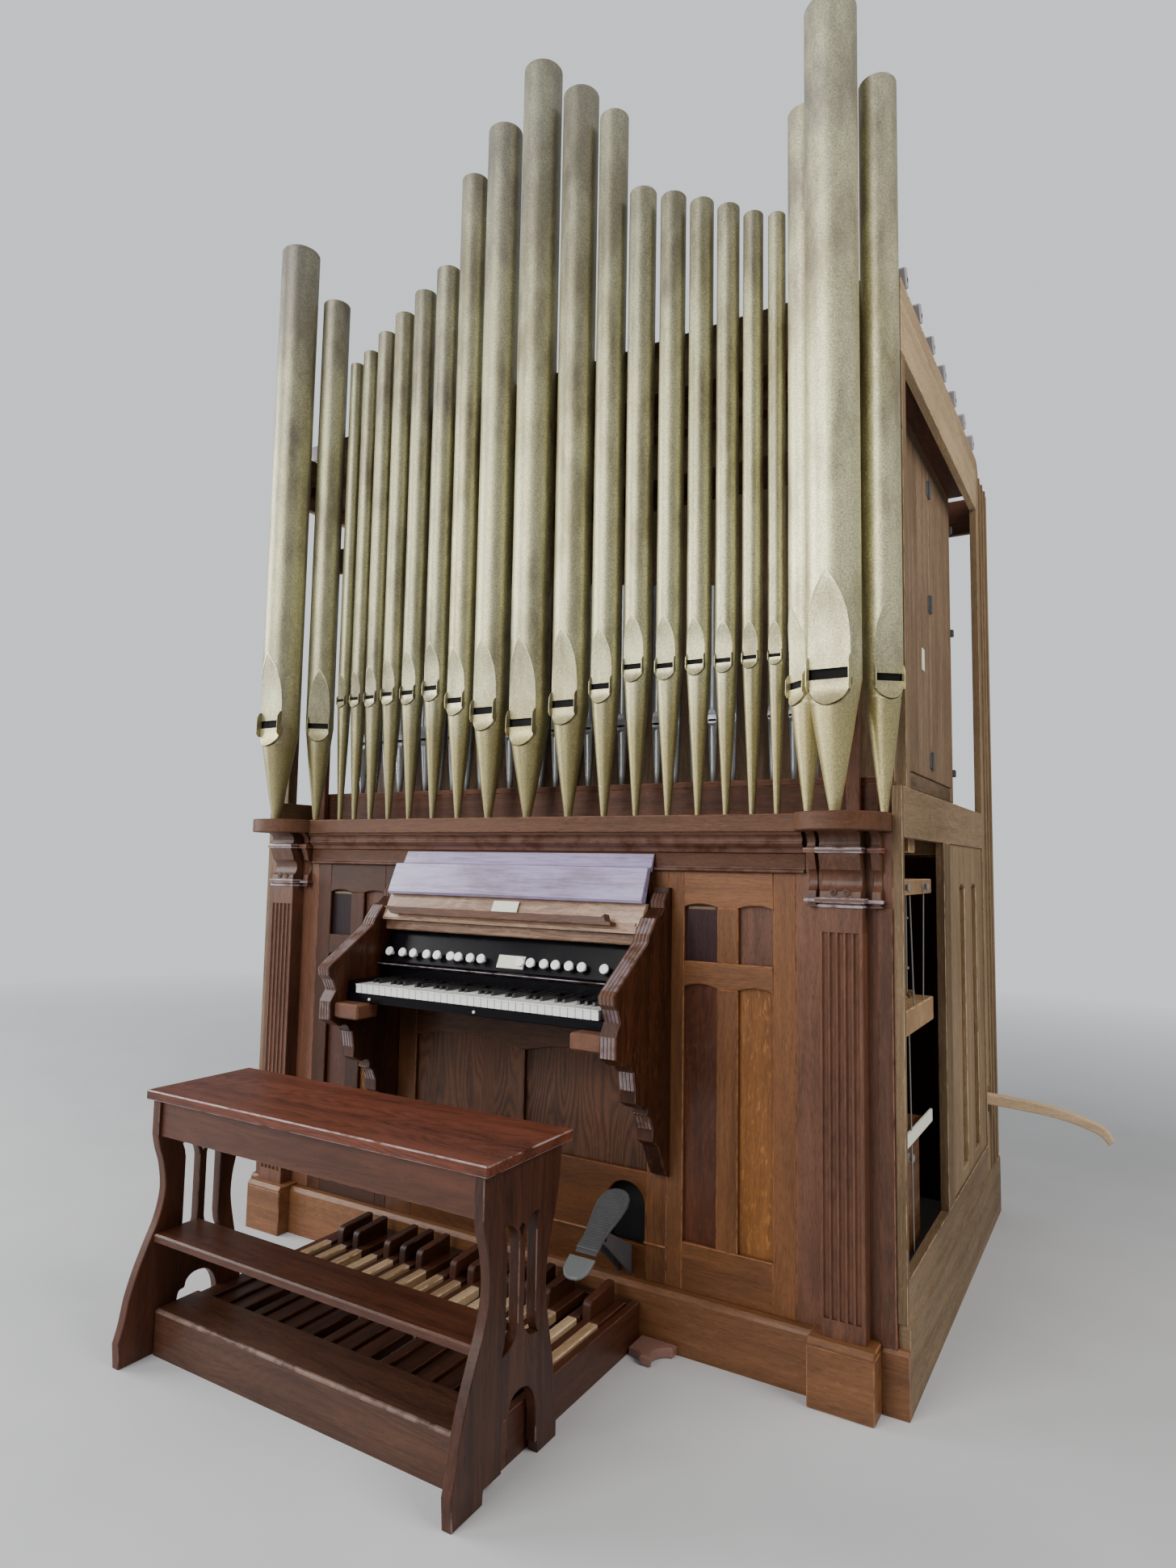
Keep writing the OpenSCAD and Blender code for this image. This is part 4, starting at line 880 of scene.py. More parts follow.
pilaster = Workpiece("pilaster_boards")
pilaster.twin(board((pilaster_x, 0, plinth_h), (inner_x, frame_t, ledge_z - ledge_t), 2), "z", tone=0.8)
for z0, z1, fluted in ((block_h, flute_z0, False), (flute_z0, flute_z1, True), (flute_z1, shaft_z1, False)):
    pilaster.twin(cut(shaft_plan(fluted), [], "z", z0, z1, 0), "z", tone=0.0, edge_wear_and_glint=0.15)
pilaster.twin(board((block_x1, -9, plinth_h), (inner_x, 0, shaft_z1), 2), "z", tone=-0.5)
pilaster.finish("oak", "oak", replaces=("pilasters",))

# %% [markdown]
# Each capital is a bracket. A bell with a hollow curve leans out from a double moulding at its foot to a
# bright square moulding, and a dark hollow follows up to the ledge. Two slim consoles stand beside it. Two
# small spirals are carved into the bell's foot, and a turned scroll makes them here.

# %% Capitals
cap_z0, cap_z1 = shaft_z1, ledge_z - ledge_t


def wrap(x0, x1, out, z, profile):
    """A moulding round the three free sides of a block on the front."""
    path = [(x0, 0, z), (x0, -out, z), (x1, -out, z), (x1, 0, z)]
    return moulding(profile, path, (0, 0, 1))


def fillet(h, p):
    return [(0, 0), (p * 0.7, 0), (p, h * 0.25), (p, h * 0.75), (p * 0.7, h), (0, h)]


def bell(out):
    return ([(0, cap_z0), (-out, cap_z0), (-out, cap_z0 + 25)] + arc(-out - 12, cap_z0 + 66, 30, -62, 62, 8)
            + [(-out - 4, cap_z0 + 110), (-out - 14, cap_z0 + 132), (-out - 14, cap_z0 + 148),
               (-out - 4, cap_z0 + 150)] + arc(-out - 26, cap_z0 + 160, 24, -20, 60, 5)
            + [(-out - 26, cap_z1), (0, cap_z1)])


def spiral(radius, turns, width, x, z, side):
    """A carved scroll: a flat ridge wound round its own middle."""
    path = []
    for k in range(turns * 12 + 1):
        a = side * 2 * math.pi * k / 12 + math.pi / 2
        r = radius * (1 - 0.8 * k / (turns * 12))
        path.append((x + r * math.cos(a), 0, z + r * math.sin(a)))
    return moulding([(-width / 2, -1), (-width / 4, 1.6), (width / 4, 1.6), (width / 2, -1)], path,
                    (0, -1, 0))


shaft_x0, shaft_x1 = shaft_mid - shaft_w / 2, shaft_mid + shaft_w / 2
capital = Workpiece("capital_brackets")
capital.twin(cut(bell(shaft_out), [], "x", shaft_x0 + 3, shaft_x1 - 3, 1), "z", tone=-0.4)
# The mouldings' pale narrow faces are painted highlights.
bright = Workpiece("capital_mouldings")
bright.twin(wrap(shaft_x0 + 2, shaft_x1 - 2, shaft_out, cap_z0 + 11, fillet(13, 9)), "x", tone=1)
bright.twin(wrap(shaft_x0 + 3, shaft_x1 - 3, shaft_out, cap_z0, fillet(7, 5)), "x", tone=1)
bright.twin(wrap(shaft_x0 + 2, shaft_x1 - 2, shaft_out + 14, cap_z0 + 133, fillet(14, 6)), "x", tone=1)
for side in (-1, 1):
    mid = shaft_mid + side * (shaft_w / 2 + 26)
    x0, x1 = mid - 15, mid + 15
    capital.twin(cut(bell(shaft_out - 30), [], "x", x0 + 4, x1 - 4, 1), "z", tone=-0.2)
    bright.twin(wrap(x0 + 3, x1 - 3, shaft_out - 30, cap_z0 + 11, fillet(9, 7)), "x", tone=1)
    bright.twin(wrap(x0 + 4, x1 - 4, shaft_out - 30, cap_z0, fillet(5, 4)), "x", tone=0.4)
    capital.twin(wrap(x0 + 3, x1 - 3, shaft_out - 16, cap_z0 + 134, fillet(12, 5)), "x", tone=0.4)
    bright.twin(spiral(9, 2, 4, shaft_mid + side * 17, cap_z0 + 37, side), "x", at(0, -shaft_out - 1, 0), 0.2)
capital.finish("oak", "oak", replaces=("capitals",))
bright.finish("glinting_oak", "oak")

# %% [markdown]
# Above the panels runs the frieze: a bright bead, a plain board, and three hollows that carry the ledge. The
# profile is drawn once and pushed along the front. The ledge itself is a thick slab whose edge swings out in
# a half circle below each tower. A small white knob stands out above the ledge's right end.

# %% Frieze and ledge
frieze_x = side_x - 240
frieze_profile = ([(0, 0), (-9, 0)] + arc(-10, 4.5, 4.5, 270, 90, 6)
                  + [(-5, 10), (-4, 13), (-4, 49), (-9, 52)] + arc(-24, 54, 14, 0, 75, 5)
                  + [(-23, 70)] + arc(-24, 77, 4.5, 250, 100, 6)
                  + arc(-38, 84, 14, 5, 70, 5) + [(-34, 98), (-34, 106), (0, 106)])
frieze = Workpiece("frieze_mouldings")
frieze.add(cut([(y, z + frieze_z) for y, z in frieze_profile], [], "x", -frieze_x, frieze_x, 0), "x",
           tone=0.4)
frieze.add(board((-pilaster_x, 0, frieze_z), (pilaster_x, frame_t, cap_z1), 0.5), "x")
frieze.finish("frieze_oak", "oak", replaces=("frieze",))
ledge_out, bow_r = 41, 114
ledge_plan = ([(-inner_x, 130)] + arc(-shaft_mid, -ledge_out, bow_r, 180, 360, 24)
              + arc(shaft_mid, -ledge_out, bow_r, 180, 360, 24) + [(inner_x, 130)])
ledge = Workpiece("ledge_slab")
ledge.add(cut(ledge_plan, [], "z", ledge_z - ledge_t, ledge_z, 2.5), "x", tone=0.9)
ledge.finish("ledge_oak", "oak", replaces=("impost_ledge",))
knob = Workpiece("white_knob")
knob.add(turned([(0, -9), (5, -8), (9, -4), (10, 0), (9, 4), (5, 8), (3, 9), (3, 22), (0, 22)],
                at(side_x - 10, 88, 1671, ("X", -90)), 16), "z")
knob.finish("ivory", "ivory")

# %% [markdown]
# The side walls are plain frames of faded boards. The right one has lost the panel of its front lower bay,
# and both upper bays are open to the swell box. Three round bars run up the broad rear post. The post's top
# is rounded where the board above the roof ends. The two boards along the top are paler than the rest, as
# painted light.

# %% Side walls
low_z1, bay_top, mid_z1, top_z0, fascia_z = 300, ledge_z - 57, ledge_z + 68, case_h - 140, case_h + 60
split_y0, split_y1, post_y = 540, 640, 1290
shade_ys = [150 + 185 * k for k in range(7)]
shade_z, notch_r = fascia_z - 12, 5.2
stile_t, upper_y0, upper_y1 = 20, 58, 100
bar_ys = [post_y + 60 + 70 * k for k in range(3)]
lever_y, pump_z = 1320, 462


def notched(y0, y1, z0, z1, notches):
    """A board's outline with notches for round pins in its upper edge."""
    top = [(y1, z1)]
    for y in sorted(notches, reverse=True):
        top += [(y + notch_r, z1)] + arc(y, shade_z, notch_r, 0, -180, 6) + [(y - notch_r, z1)]
    return [(y0, z0), (y1, z0)] + top + [(y0, z1)]


# The top boards' paler finish is painted light.
tops = Workpiece("side_wall_tops")
for side, mirror_x in (("right", 1), ("left", -1)):
    wall = Workpiece("side_wall_" + side)
    x0, x1 = sorted((mirror_x * inner_x, mirror_x * side_x))
    lever_slot = [rect(lever_y - 21, lever_y + 21, pump_z - 53, pump_z + 37)] if side == "right" else []
    boards = [
        ("z", rect(0, stile_t, side_plinth_h, mid_z1), [], -0.6),
        ("y", rect(stile_t, post_y, side_plinth_h, low_z1), [], 0.0),
        ("z", rect(split_y0, split_y1, low_z1, bay_top), [], -0.8),
        ("y", rect(stile_t, post_y, bay_top, mid_z1), [], 0.6),
        ("z", rect(upper_y0, upper_y1, mid_z1, top_z0), [], -0.2),
        ("z", [(post_y, side_plinth_h), (rear_y, side_plinth_h), (rear_y, case_h)]
         + arc(post_y, case_h, 60, 0, 90, 8), lever_slot, 1.5)]
    for along, outline, holes, tone in boards:
        wall.add(cut(outline, holes, "x", x0, x1, 1.5), along, None, tone)
    for outline, tone in ((rect(upper_y0, post_y, top_z0, case_h), 1.0),
                          (notched(upper_y0, post_y, case_h, fascia_z, shade_ys[:-1]), 0.2)):
        tops.add(cut(outline, [], "x", x0, x1, 1.5), "y", None, tone)
    for y in bar_ys:
        bar = turned([(0, side_plinth_h), (6, side_plinth_h), (7, side_plinth_h + 4), (7, case_h - 4),
                      (6, case_h), (0, case_h)], at(0, 0, 0), 12)
        wall.add(bar, "z", at(mirror_x * (side_x - 1), y, 0), edge_wear_and_glint=0)
    wall.finish("faded_oak", "faded_oak", replaces=("side_frame_" + side,))
tops.finish("sunlit_oak", "faded_oak")


def wall_panel(y0, y1):
    """A closed lower bay: a thin board with two tall arched recesses in front of a backing."""
    width = (y1 - y0) * 0.15
    recesses = []
    for k in (0.36, 0.72):
        mid = y0 + (y1 - y0) * k
        recesses.append(arched(mid - width / 2, mid + width / 2, low_z1 + 40, bay_top - 124, 14))
    return (cut(rect(y0, y1, low_z1, bay_top), recesses, "x", inner_x + 4, side_x - 6, 2),
            board((inner_x, y0, low_z1), (inner_x + 4, y1, bay_top), 0.5))


closed = Workpiece("side_wall_panels")
for part in wall_panel(split_y1, post_y):
    closed.twin(part, "z")
for part in wall_panel(stile_t, split_y0):
    closed.add(part, "z", MIRROR)
closed.finish("faded_panel", "faded_oak", replaces=("side_panels",))

# %% [markdown]
# The back of such an organ is its plainest side: a frame, narrow upright boards in the lower half and an
# open upper half.

# %% Back
back_y, back_stile, upper_stile = rear_y - wall_t, 100, 26
back = Workpiece("back_framing")
back.twin(board((inner_x - back_stile, back_y, side_plinth_h), (inner_x, rear_y, mid_z1), 2), "z")
back.twin(board((inner_x - upper_stile, back_y, mid_z1), (inner_x, rear_y, case_h), 2), "z")
back.add(board((-back_stile / 2, back_y, low_z1), (back_stile / 2, rear_y, bay_top), 2), "z")
for z0, z1 in ((side_plinth_h, low_z1), (bay_top, mid_z1), (top_z0, case_h)):
    inset = upper_stile if z0 > mid_z1 else back_stile
    back.add(board((-inner_x + inset, back_y, z0), (inner_x - inset, rear_y, z1), 2), "x")
back.add(board((-inner_x, back_y, 0), (inner_x, rear_y, side_plinth_h), 2), "x")
back.finish("oak", "oak", replaces=("back_frame", "back_plinth"))
backing = Workpiece("back_boards")
strips_n = 8
strip_w = (inner_x - 1.5 * back_stile) / strips_n
for k in range(strips_n):
    x = back_stile / 2 + k * strip_w
    backing.twin(board((x, back_y + 6, low_z1), (x + strip_w, rear_y - 6, bay_top), 2.5), "z")
backing.finish("oak", "oak", replaces=("back_panels",))

# %% [markdown]
# Inside stand the parts that make the sound: the wind chest on its beams, and on the chest the swell box, a
# chamber of boards whose doors and roof let the sound out. These are rough workshop surfaces, boards butted
# edge to edge, and only strips of them show between the pipes and through the open bays. Over the box lies a
# row of tilted shades with pale grey tips, and their pins turn in the notches of the side walls. A black disc
# on each tip's end is painted shade of a notch. The doors have iron hinges, and one of them carries a small
# bare card.

# %% Wind chest, beams and swell box
chest_y0, chest_y1, chest_z1, chest_t, lid_t = 130, 1356, ledge_z + 105, 20, 18
box_x, box_y0, box_y1, box_t, box_z1 = side_x - 90, 330, 1250, 22, case_h - 90
chest = Workpiece("wind_chest_boards")
for y in (chest_y0, chest_y1 - chest_t):
    chest.add(board((-box_x, y, ledge_z), (box_x, y + chest_t, chest_z1 - lid_t), 2), "x")
chest.add(board((-box_x, chest_y0, chest_z1 - lid_t), (box_x, chest_y1, chest_z1), 3), "x")
inner_y0, inner_y1 = chest_y0 + chest_t, chest_y1 - chest_t
chest.twin(board((box_x - chest_t, inner_y0, ledge_z), (box_x, inner_y1, chest_z1 - lid_t), 2), "y")
chest.add(board((-box_x + chest_t, inner_y0, ledge_z + 2), (box_x - chest_t, inner_y1, ledge_z + 14), 1), "x")
chest.finish("inner_oak", "light_oak", replaces=("wind_chest",))
beams = Workpiece("chest_beam_timbers")
beam_ys, beam_w, beam_h = (190, 623, 1206), 70, 92
for y in beam_ys:
    beams.add(board((-inner_x, y, ledge_z - beam_h), (inner_x, y + beam_w, ledge_z), 3), "x")
beams.finish("pine", "pine", replaces=("chest_beams",))


def boarding(a, b, step, axis, soft=2.0):
    """A wall of upright boards between two corners, laid side by side along one axis."""
    count = max(1, round(abs(b[axis] - a[axis]) / step))
    parts = []
    for k in range(count):
        low, high = list(a), list(b)
        low[axis] = a[axis] + (b[axis] - a[axis]) * k / count
        high[axis] = a[axis] + (b[axis] - a[axis]) * (k + 1) / count
        parts.append(board(low, high, soft))
    return parts


door_y0, door_y1, door_z0, door_z1 = box_y0 + 130, box_y1 - 60, chest_z1 + 50, box_z1 - 60
swell = Workpiece("swell_box_boards")
for y in (box_y0, box_y1 - box_t):
    for part in boarding((-box_x + box_t, y, chest_z1), (box_x - box_t, y + box_t, box_z1), 168, 0):
        swell.add(part, "z")
for part in boarding((-box_x, box_y0, chest_z1), (-box_x + box_t, box_y1, box_z1), 155, 1):
    swell.add(part, "z")
for y0, y1 in ((box_y0, door_y0), (door_y1, box_y1)):
    swell.add(board((box_x - box_t, y0, chest_z1), (box_x, y1, box_z1), 2), "z")
for z0, z1 in ((chest_z1, door_z0), (door_z1, box_z1)):
    swell.add(board((box_x - box_t, door_y0, z0), (box_x, door_y1, z1), 2), "y")
swell.finish("inner_faded", "faded_oak", replaces=("swell_box_walls",))
door_mid = (door_y0 + door_y1) / 2
doors, hinges = Workpiece("swell_box_door_boards"), Workpiece("swell_box_hinges")
for y0, y1 in ((door_y0 + 2, door_mid - 2), (door_mid + 2, door_y1 - 2)):
    for part in boarding((box_x - box_t + 4, y0, door_z0), (box_x + 6, y1, door_z1 - 2), 185, 1, 1.5):
        doors.add(part, "z")
hinge_zs, card_y, card_z = (1610, 2130, 2520), 690, 1890
hinge_pin = [(0, -30), (7, -30), (7, -8), (6, -7), (7, -6), (7, 30), (0, 30)]
for z in hinge_zs:
    hinges.add(board((box_x + 4, door_mid - 26, z - 24), (box_x + 9, door_mid + 20, z + 24), 1.5), "z")
    hinges.add(turned(hinge_pin, at(box_x + 9, door_mid, z), 10), "z")
    hinges.add(board((box_x - 6, box_y1 - 8, z - 12), (box_x + 10, box_y1 + 12, z + 14), 2), "z")
doors.finish("inner_faded", "faded_oak", replaces=("swell_box_doors",))
hinges.finish("shoe_iron", "faded_oak")
card = Workpiece("bare_card")
card.add(board((box_x + 6, card_y, card_z), (box_x + 7, card_y + 40, card_z + 70), 0.3), "z")
card.finish("card", "faded_oak")

roof = Workpiece("swell_box_roof_boards")
rack_y, roof_y1, roof_t, roof_edge = 103, box_y1 + 20, 40, box_x - 80
edges = [rack_y] + [v for y in shade_ys[:-1] for v in (y + 30, y + 130)] + [roof_y1]
for y0, y1 in zip(edges[::2], edges[1::2]):
    roof.add(board((-roof_edge, y0, box_z1), (roof_edge, y1, box_z1 + roof_t), 2), "x")
roof.twin(board((roof_edge, rack_y, box_z1), (inner_x, roof_y1, box_z1 + roof_t), 2), "y")
roof.finish("inner_oak", "oak", replaces=("swell_box_roof",))
shades, tips, sockets = [Workpiece("roof_shade_" + n) for n in ("boards", "tips", "sockets")]
shade_x, tip_l, shade_h, half_t, shade_tilt = inner_x - 3, 34, 80, 11, 28
tip_x, notch_z0, notch_z1, socket_z = shade_x - tip_l, -8, 26, 47
sideways = Matrix.Rotation(math.radians(90), 4, "Y")
for y in shade_ys:
    tilt = at(0, y, shade_z, ("X", shade_tilt))
    shades.add(board((-tip_x, -half_t, -shade_h), (tip_x, half_t, shade_h), 2), "x", tilt)
    shades.add(turned([(0, -side_x + 3), (5, -side_x + 3), (5, side_x - 3), (0, side_x - 3)],
                      tilt @ sideways, 10), "x")
    tips.twin(board((tip_x, -half_t, notch_z1), (side_x + 3, half_t, shade_h), 4), "x", tilt)
    tips.twin(board((tip_x, -half_t, -shade_h), (shade_x, half_t, notch_z0), 3), "x", tilt)
    # A black disc on each tip's end is painted shade of a notch.
    sockets.twin(turned([(0, side_x), (7, side_x), (7, side_x + 3.4), (0, side_x + 3.4)],
                        tilt @ Matrix.Translation((0, 0, socket_z)) @ sideways, 12), "x")
    shades.twin(board((tip_x, -9, notch_z0), (shade_x - 4, 9, notch_z1), 1), "x", tilt)
shades.finish("faded_oak", "faded_oak", replaces=("roof_shades",))
tips.finish("tip_grey", "faded_oak")
sockets.finish("inside", "faded_oak")

# %% [markdown]
# Between the show pipes the inner ranks glint: plain zinc pipes with small mouths. They are the same form as
# the show pipes, so the same rings serve. In front of them a rail with posts holds the show pipes upright.

# %% Inner pipes and rack
inner = Workpiece("inner_rank_pipes")
rank_n, rank_x, rank_pitch, rank_y = 30, -899, 62, 235
for k in range(rank_n):
    r = 25 - 0.35 * k
    inner.add(pipe_body(r, ledge_z + 190, ledge_z + 810 - 9 * k, 2.4 * r), "z",
              at(rank_x + rank_pitch * k, rank_y, chest_z1 - ledge_z))
inner.finish("zinc", "zinc", replaces=("rank_pipes",))
rack = Workpiece("pipe_rack_boards")
rack_x, rack_t, rack_z0, rack_z1 = side_x - 120, 22, case_h - 410, case_h - 320
rack.add(board((-rack_x, rack_y, rack_z0), (rack_x, rack_y + rack_t, rack_z1), 2), "x")
rack.twin(board((rack_x - 45, rack_y, ledge_z), (rack_x - 10, rack_y + rack_t, rack_z0), 2), "z")
rack.finish("inner_oak", "oak", replaces=("pipe_rack",))

# %% [markdown]
# Through the open bay one looks at the key action. A thick pine beam carries it at key height, two rails
# cross above and below, and thin wires pull between them. On the wires sit small round buttons. Spools stand
# at the rails' ends, and a row of felt blocks and a pale strip lie on the boards behind.

# %% Key action
wire_z0, wire_z1 = 905, 1195
action = Workpiece("action_timbers")
action.add(board((-inner_x, 60, wire_z0 - 65), (inner_x, 480, wire_z0), 3), "x", None, 0.6)
action.add(board((-inner_x, 70, wire_z1), (inner_x, 470, wire_z1 + 40), 2), "x", None, -0.4)
action.add(board((-inner_x, 60, 300), (inner_x, 100, 560), 2), "x", None, -0.8)
action.finish("pine", "pine", replaces=("action_rails",))
wires = Workpiece("action_wires")
wire = [(0, wire_z0), (2.5, wire_z0), (2.5, 980), (7, 981), (7, 988), (2.5, 989), (2.5, 1120), (6, 1121),
        (6, 1127), (2.5, 1128), (2.5, wire_z1), (0, wire_z1)]
for y in (90, 150, 330, 420):
    wires.twin(turned(wire, at(inner_x - 60, y, 0), 10), "z")
wires.finish("wire", "wire", replaces=("tracker_wires",))
spools = Workpiece("action_spools")
spool = [(0, -9), (10, -9), (12, -7), (12, -4), (8, -2), (8, 3), (11, 5), (11, 8), (8, 10), (0, 11)]
for x, y, z in ((inner_x + 7, 110, wire_z1 + 20), (inner_x + 7, 345, wire_z1 + 20), (inner_x - 30, 150, 525),
                (inner_x - 30, 300, 500)):
    spools.twin(turned(spool, at(x, y, z, ("Y", 90)), 16), "z")
rods = [(y, lean, wire_z0, wire_z1) for y, lean in ((110, 5), (260, 7), (380, -4))]
for y, lean, low, high in [*rods, (230, 3, 240, wire_z0 - 65)]:
    spools.twin(turned([(0, 0), (2.0, 0), (2.0, high - low), (0, high - low)],
                       at(inner_x - 8, y, low, ("X", lean)), 8), "z")
spools.finish("wire", "wire")
trunk = Workpiece("action_trunk_boards")
trunk.twin(board((inner_x - 330, 104, 548), (inner_x - 14, 470, 572), 2), "y")
trunk.twin(board((inner_x - 60, 110, low_z1 - 60), (inner_x - 40, 460, 548), 2), "y", None, -0.5)
trunk.twin(board((inner_x - 40, 62, 300), (inner_x - 16, 96, 552), 2), "z", None, 0.4)
trunk.twin(board((inner_x - 48, 64, wire_z0), (inner_x - 30, 84, 1080), 2), "z", None, 0.9)
trunk.finish("figured_trunk", "pine")
pale_strip = Workpiece("action_pale_strip")
pale_strip.twin(board((inner_x - 14, 70, 560), (inner_x - 6, 475, 594), 1.5), "y")
pale_strip.finish("card", "pine")
felts = Workpiece("action_felt_blocks")
for k in range(9):
    y = 84 + 44 * k
    felts.twin(board((inner_x - 74, y, wire_z0), (inner_x - 46, y + 22, wire_z0 + 9 + 3 * (k % 3)), 2), "y")
felts.finish("inner_faded", "pine")

# %% [markdown]
# The key desk hangs between two scrolled cheeks. A cheek is sawn from thick oak: a sloping arm, a nose at
# the keys' front, and a stepped bracket below. Its narrow front faces are reeded, which the photograph shows
# as bright lines. The reeds here are wavy strips that follow six stretches of the front edge.

# %% Cheeks
key_z, key_front, jamb_y, cheek_x0, cheek_t = 891, -245, -95, 461.5, 48
cheek_front = ([(-22, 309), (-22, 295), (-30, 293), (-46, 273), (-46, 255), (-70, 235), (-96, 228),
                (-128, 189), (-138, 169), (-305, 59), (-318, 47), (-315, 27), (-300, 14), (-284, -19),
                (-306, -51), (-306, -104), (-276, -121)] + arc(-248, -149, 24, 121, 9, 6)
               + [(-212, -151), (-203, -198), (-203, -229)] + arc(-152, -263, 20, 132, -21, 6)
               + [(-118, -281), (-103, -314), (-103, -346), (-70, -366), (-48, -411), (-22, -451)])
cheek_front = [(y, z + key_z) for y, z in cheek_front]
cheek_outline = [(0, key_z + 309)] + cheek_front + [(0, key_z - 461)]
cheeks = Workpiece("key_cheek_boards")
cheeks.twin(cut(cheek_outline, [], "x", cheek_x0, cheek_x0 + cheek_t, 1.5), "z")
reeds = [(-2, 3)] + [(2.6 * math.sin(math.pi * (k % 4) / 4) ** 0.7 - 0.8, 3 + (cheek_t - 6) * k / 16)
                     for k in range(17)] + [(-2, cheek_t - 3)]
# The reeds' pale ridges are painted highlights.
reeding = Workpiece("cheek_reeds")
for part_of in (cheek_front[2:5], cheek_front[6:10], cheek_front[9:14], cheek_front[14:16],
                cheek_front[24:26], cheek_front[33:36]):
    reeding.twin(moulding(reeds, [(cheek_x0, y, z) for y, z in part_of], (1, 0, 0)), "z", None, 0.8, 0.45)
cheeks.finish("cheek_oak", "oak", replaces=("key_cheeks",))
reeding.finish("glinting_oak", "oak")

# %% [markdown]
# Below the keys lies a bed with a black slip along its front, held by two oak end blocks. The keys are
# balanced boards: the naturals are covered with ivory in two pieces, a head and a narrower tail, and the
# sharps are ebony with a sloping front. Each key gets a slightly different shade and height, as old keys do.

# %% Keys
naturals, key_pitch, head_l, key_l, sharp_w, key_gap = 36, 23.5, 50, 150, 10.5, 1
keys_x = -naturals * key_pitch / 2
bed_z1 = key_z - 27
bed = Workpiece("key_bed_boards")
bed.add(board((-cheek_x0, key_front + 14, bed_z1 - 27), (cheek_x0, 0, bed_z1), 2), "x")
bed.twin(board((cheek_x0 - 96, key_front - 47, bed_z1 - 71), (cheek_x0, key_front + 40, bed_z1 - 27), 5), "y",
         None, 0.9)
bed.finish("oak", "oak", replaces=("key_bed",))
slip = Workpiece("key_slip")
slip.add(board((-cheek_x0, key_front + 4, bed_z1 - 27), (cheek_x0, key_front + 14, bed_z1), 2), "x")
slip.finish("black_wood", "black_wood")
buttons = Workpiece("slip_buttons")
button = [(0, 0), (4.5, 0), (4.5, 3), (3, 5), (0, 5.5)]
for x in (-368, 23):
    buttons.add(turned(button, at(x, key_front + 5, bed_z1 - 16, ("X", 90)), 12))
buttons.finish("ivory", "ivory")


def sharp_after(i, count):
    return i % 7 not in (2, 6) and i < count - 1


ivories, ebonies = Workpiece("natural_key_covers"), Workpiece("sharp_key_blocks")
for i in range(naturals):
    x, sag = keys_x + i * key_pitch, ivories.chance.uniform(-1.6, 0)
    left = sharp_w / 2 + key_gap if i > 0 and sharp_after(i - 1, naturals) else key_gap / 2
    right = key_pitch - (sharp_w / 2 + key_gap if sharp_after(i, naturals) else key_gap / 2)
    worn = ivories.chance.uniform(-1, 1)
    x0, x1, y1, z1 = x + key_gap / 2, x + key_pitch - key_gap / 2, key_front + head_l, key_z + sag
    ivories.add(board((x0, key_front, z1 - 4), (x1, y1, z1), 0.8), "y", None, worn)
    ivories.add(board((x0 + 0.6, key_front + 2, bed_z1), (x1 - 0.6, y1, z1 - 4), 0.5), "y", None, worn)
    ivories.add(board((x + left, y1 + 0.3, bed_z1), (x + right, key_front + key_l, z1), 0.8), "y", None, worn)
    if sharp_after(i, naturals):
        y0, y1, z1 = key_front + head_l + key_gap, key_front + key_l, key_z + 11 + sag
        ebonies.add(cut([(y0, bed_z1), (y1, bed_z1), (y1, z1)] + arc(y0 + 10, z1 - 5, 5, 90, 150, 3),
                        [], "x", x + key_pitch - sharp_w / 2, x + key_pitch + sharp_w / 2, 1.4), "y")
ivories.finish("ivory", "ivory", replaces=("natural_keys",))
ebonies.finish("ebony", "ebony", replaces=("sharp_keys",))

# %% [markdown]
# Behind the keys stands the stop jamb, a black varnished board that leans back. A step in front of it throws
# one long bright line, drawn here as a pale strip: a painted highlight. Sixteen stop knobs with white faces
# stand in a row, and a small bare plate sits between the two groups.

# %% Stop jamb
jamb_z0, jamb_z1, jamb_run = key_z + 54, key_z + 152, 44
jamb_slope = math.degrees(math.atan(jamb_run / (jamb_z1 - jamb_z0)))
jamb = Workpiece("stop_jamb_boards")
jamb.add(cut([(0, bed_z1), (jamb_y + key_gap, bed_z1), (jamb_y + key_gap, key_z + 37)]
             + arc(jamb_y - 12, key_z + 45, 5, 240, 100, 6)
             + [(jamb_y - 4, jamb_z0 - 1), (jamb_y, jamb_z0), (jamb_y + jamb_run, jamb_z1), (0, jamb_z1)],
             [], "x", -cheek_x0, cheek_x0, 0), "x")
jamb.twin(board((-keys_x + key_gap, key_front + 8, bed_z1), (cheek_x0, jamb_y + 2, key_z + 6), 3), "y")
jamb.finish("black_wood", "black_wood", replaces=("stop_jamb",))
# The pale strip along the step is a painted highlight.
line = Workpiece("jamb_step_line")
line.add(board((-cheek_x0, jamb_y - 18.5, key_z + 46), (cheek_x0, jamb_y - 16, key_z + 49), 0.8), "x")
line.finish("glinting_oak", "black_wood")
knob_z = key_z + 79
knob_y = jamb_y + (knob_z - jamb_z0) * math.tan(math.radians(jamb_slope))
lean = ("X", 90 - jamb_slope)
knobs = Workpiece("stop_knob_discs")
for x in (-425, -372, -328, -275, -233, -180, -151, -106, -65, 76, 111, 157, 196, 241, 282, 354):
    pull = knobs.chance.uniform(-2, 0)
    knobs.add(turned([(0, -1), (6.3, -1), (6.3, 13 + pull), (12, 14 + pull), (14, 15.5 + pull),
                      (14, 20 + pull), (12.9, 21.6 + pull), (11, 22 + pull), (10.2, 21.2 + pull),
                      (0, 21.2 + pull)], at(x, knob_y, knob_z, lean), 24), "z")
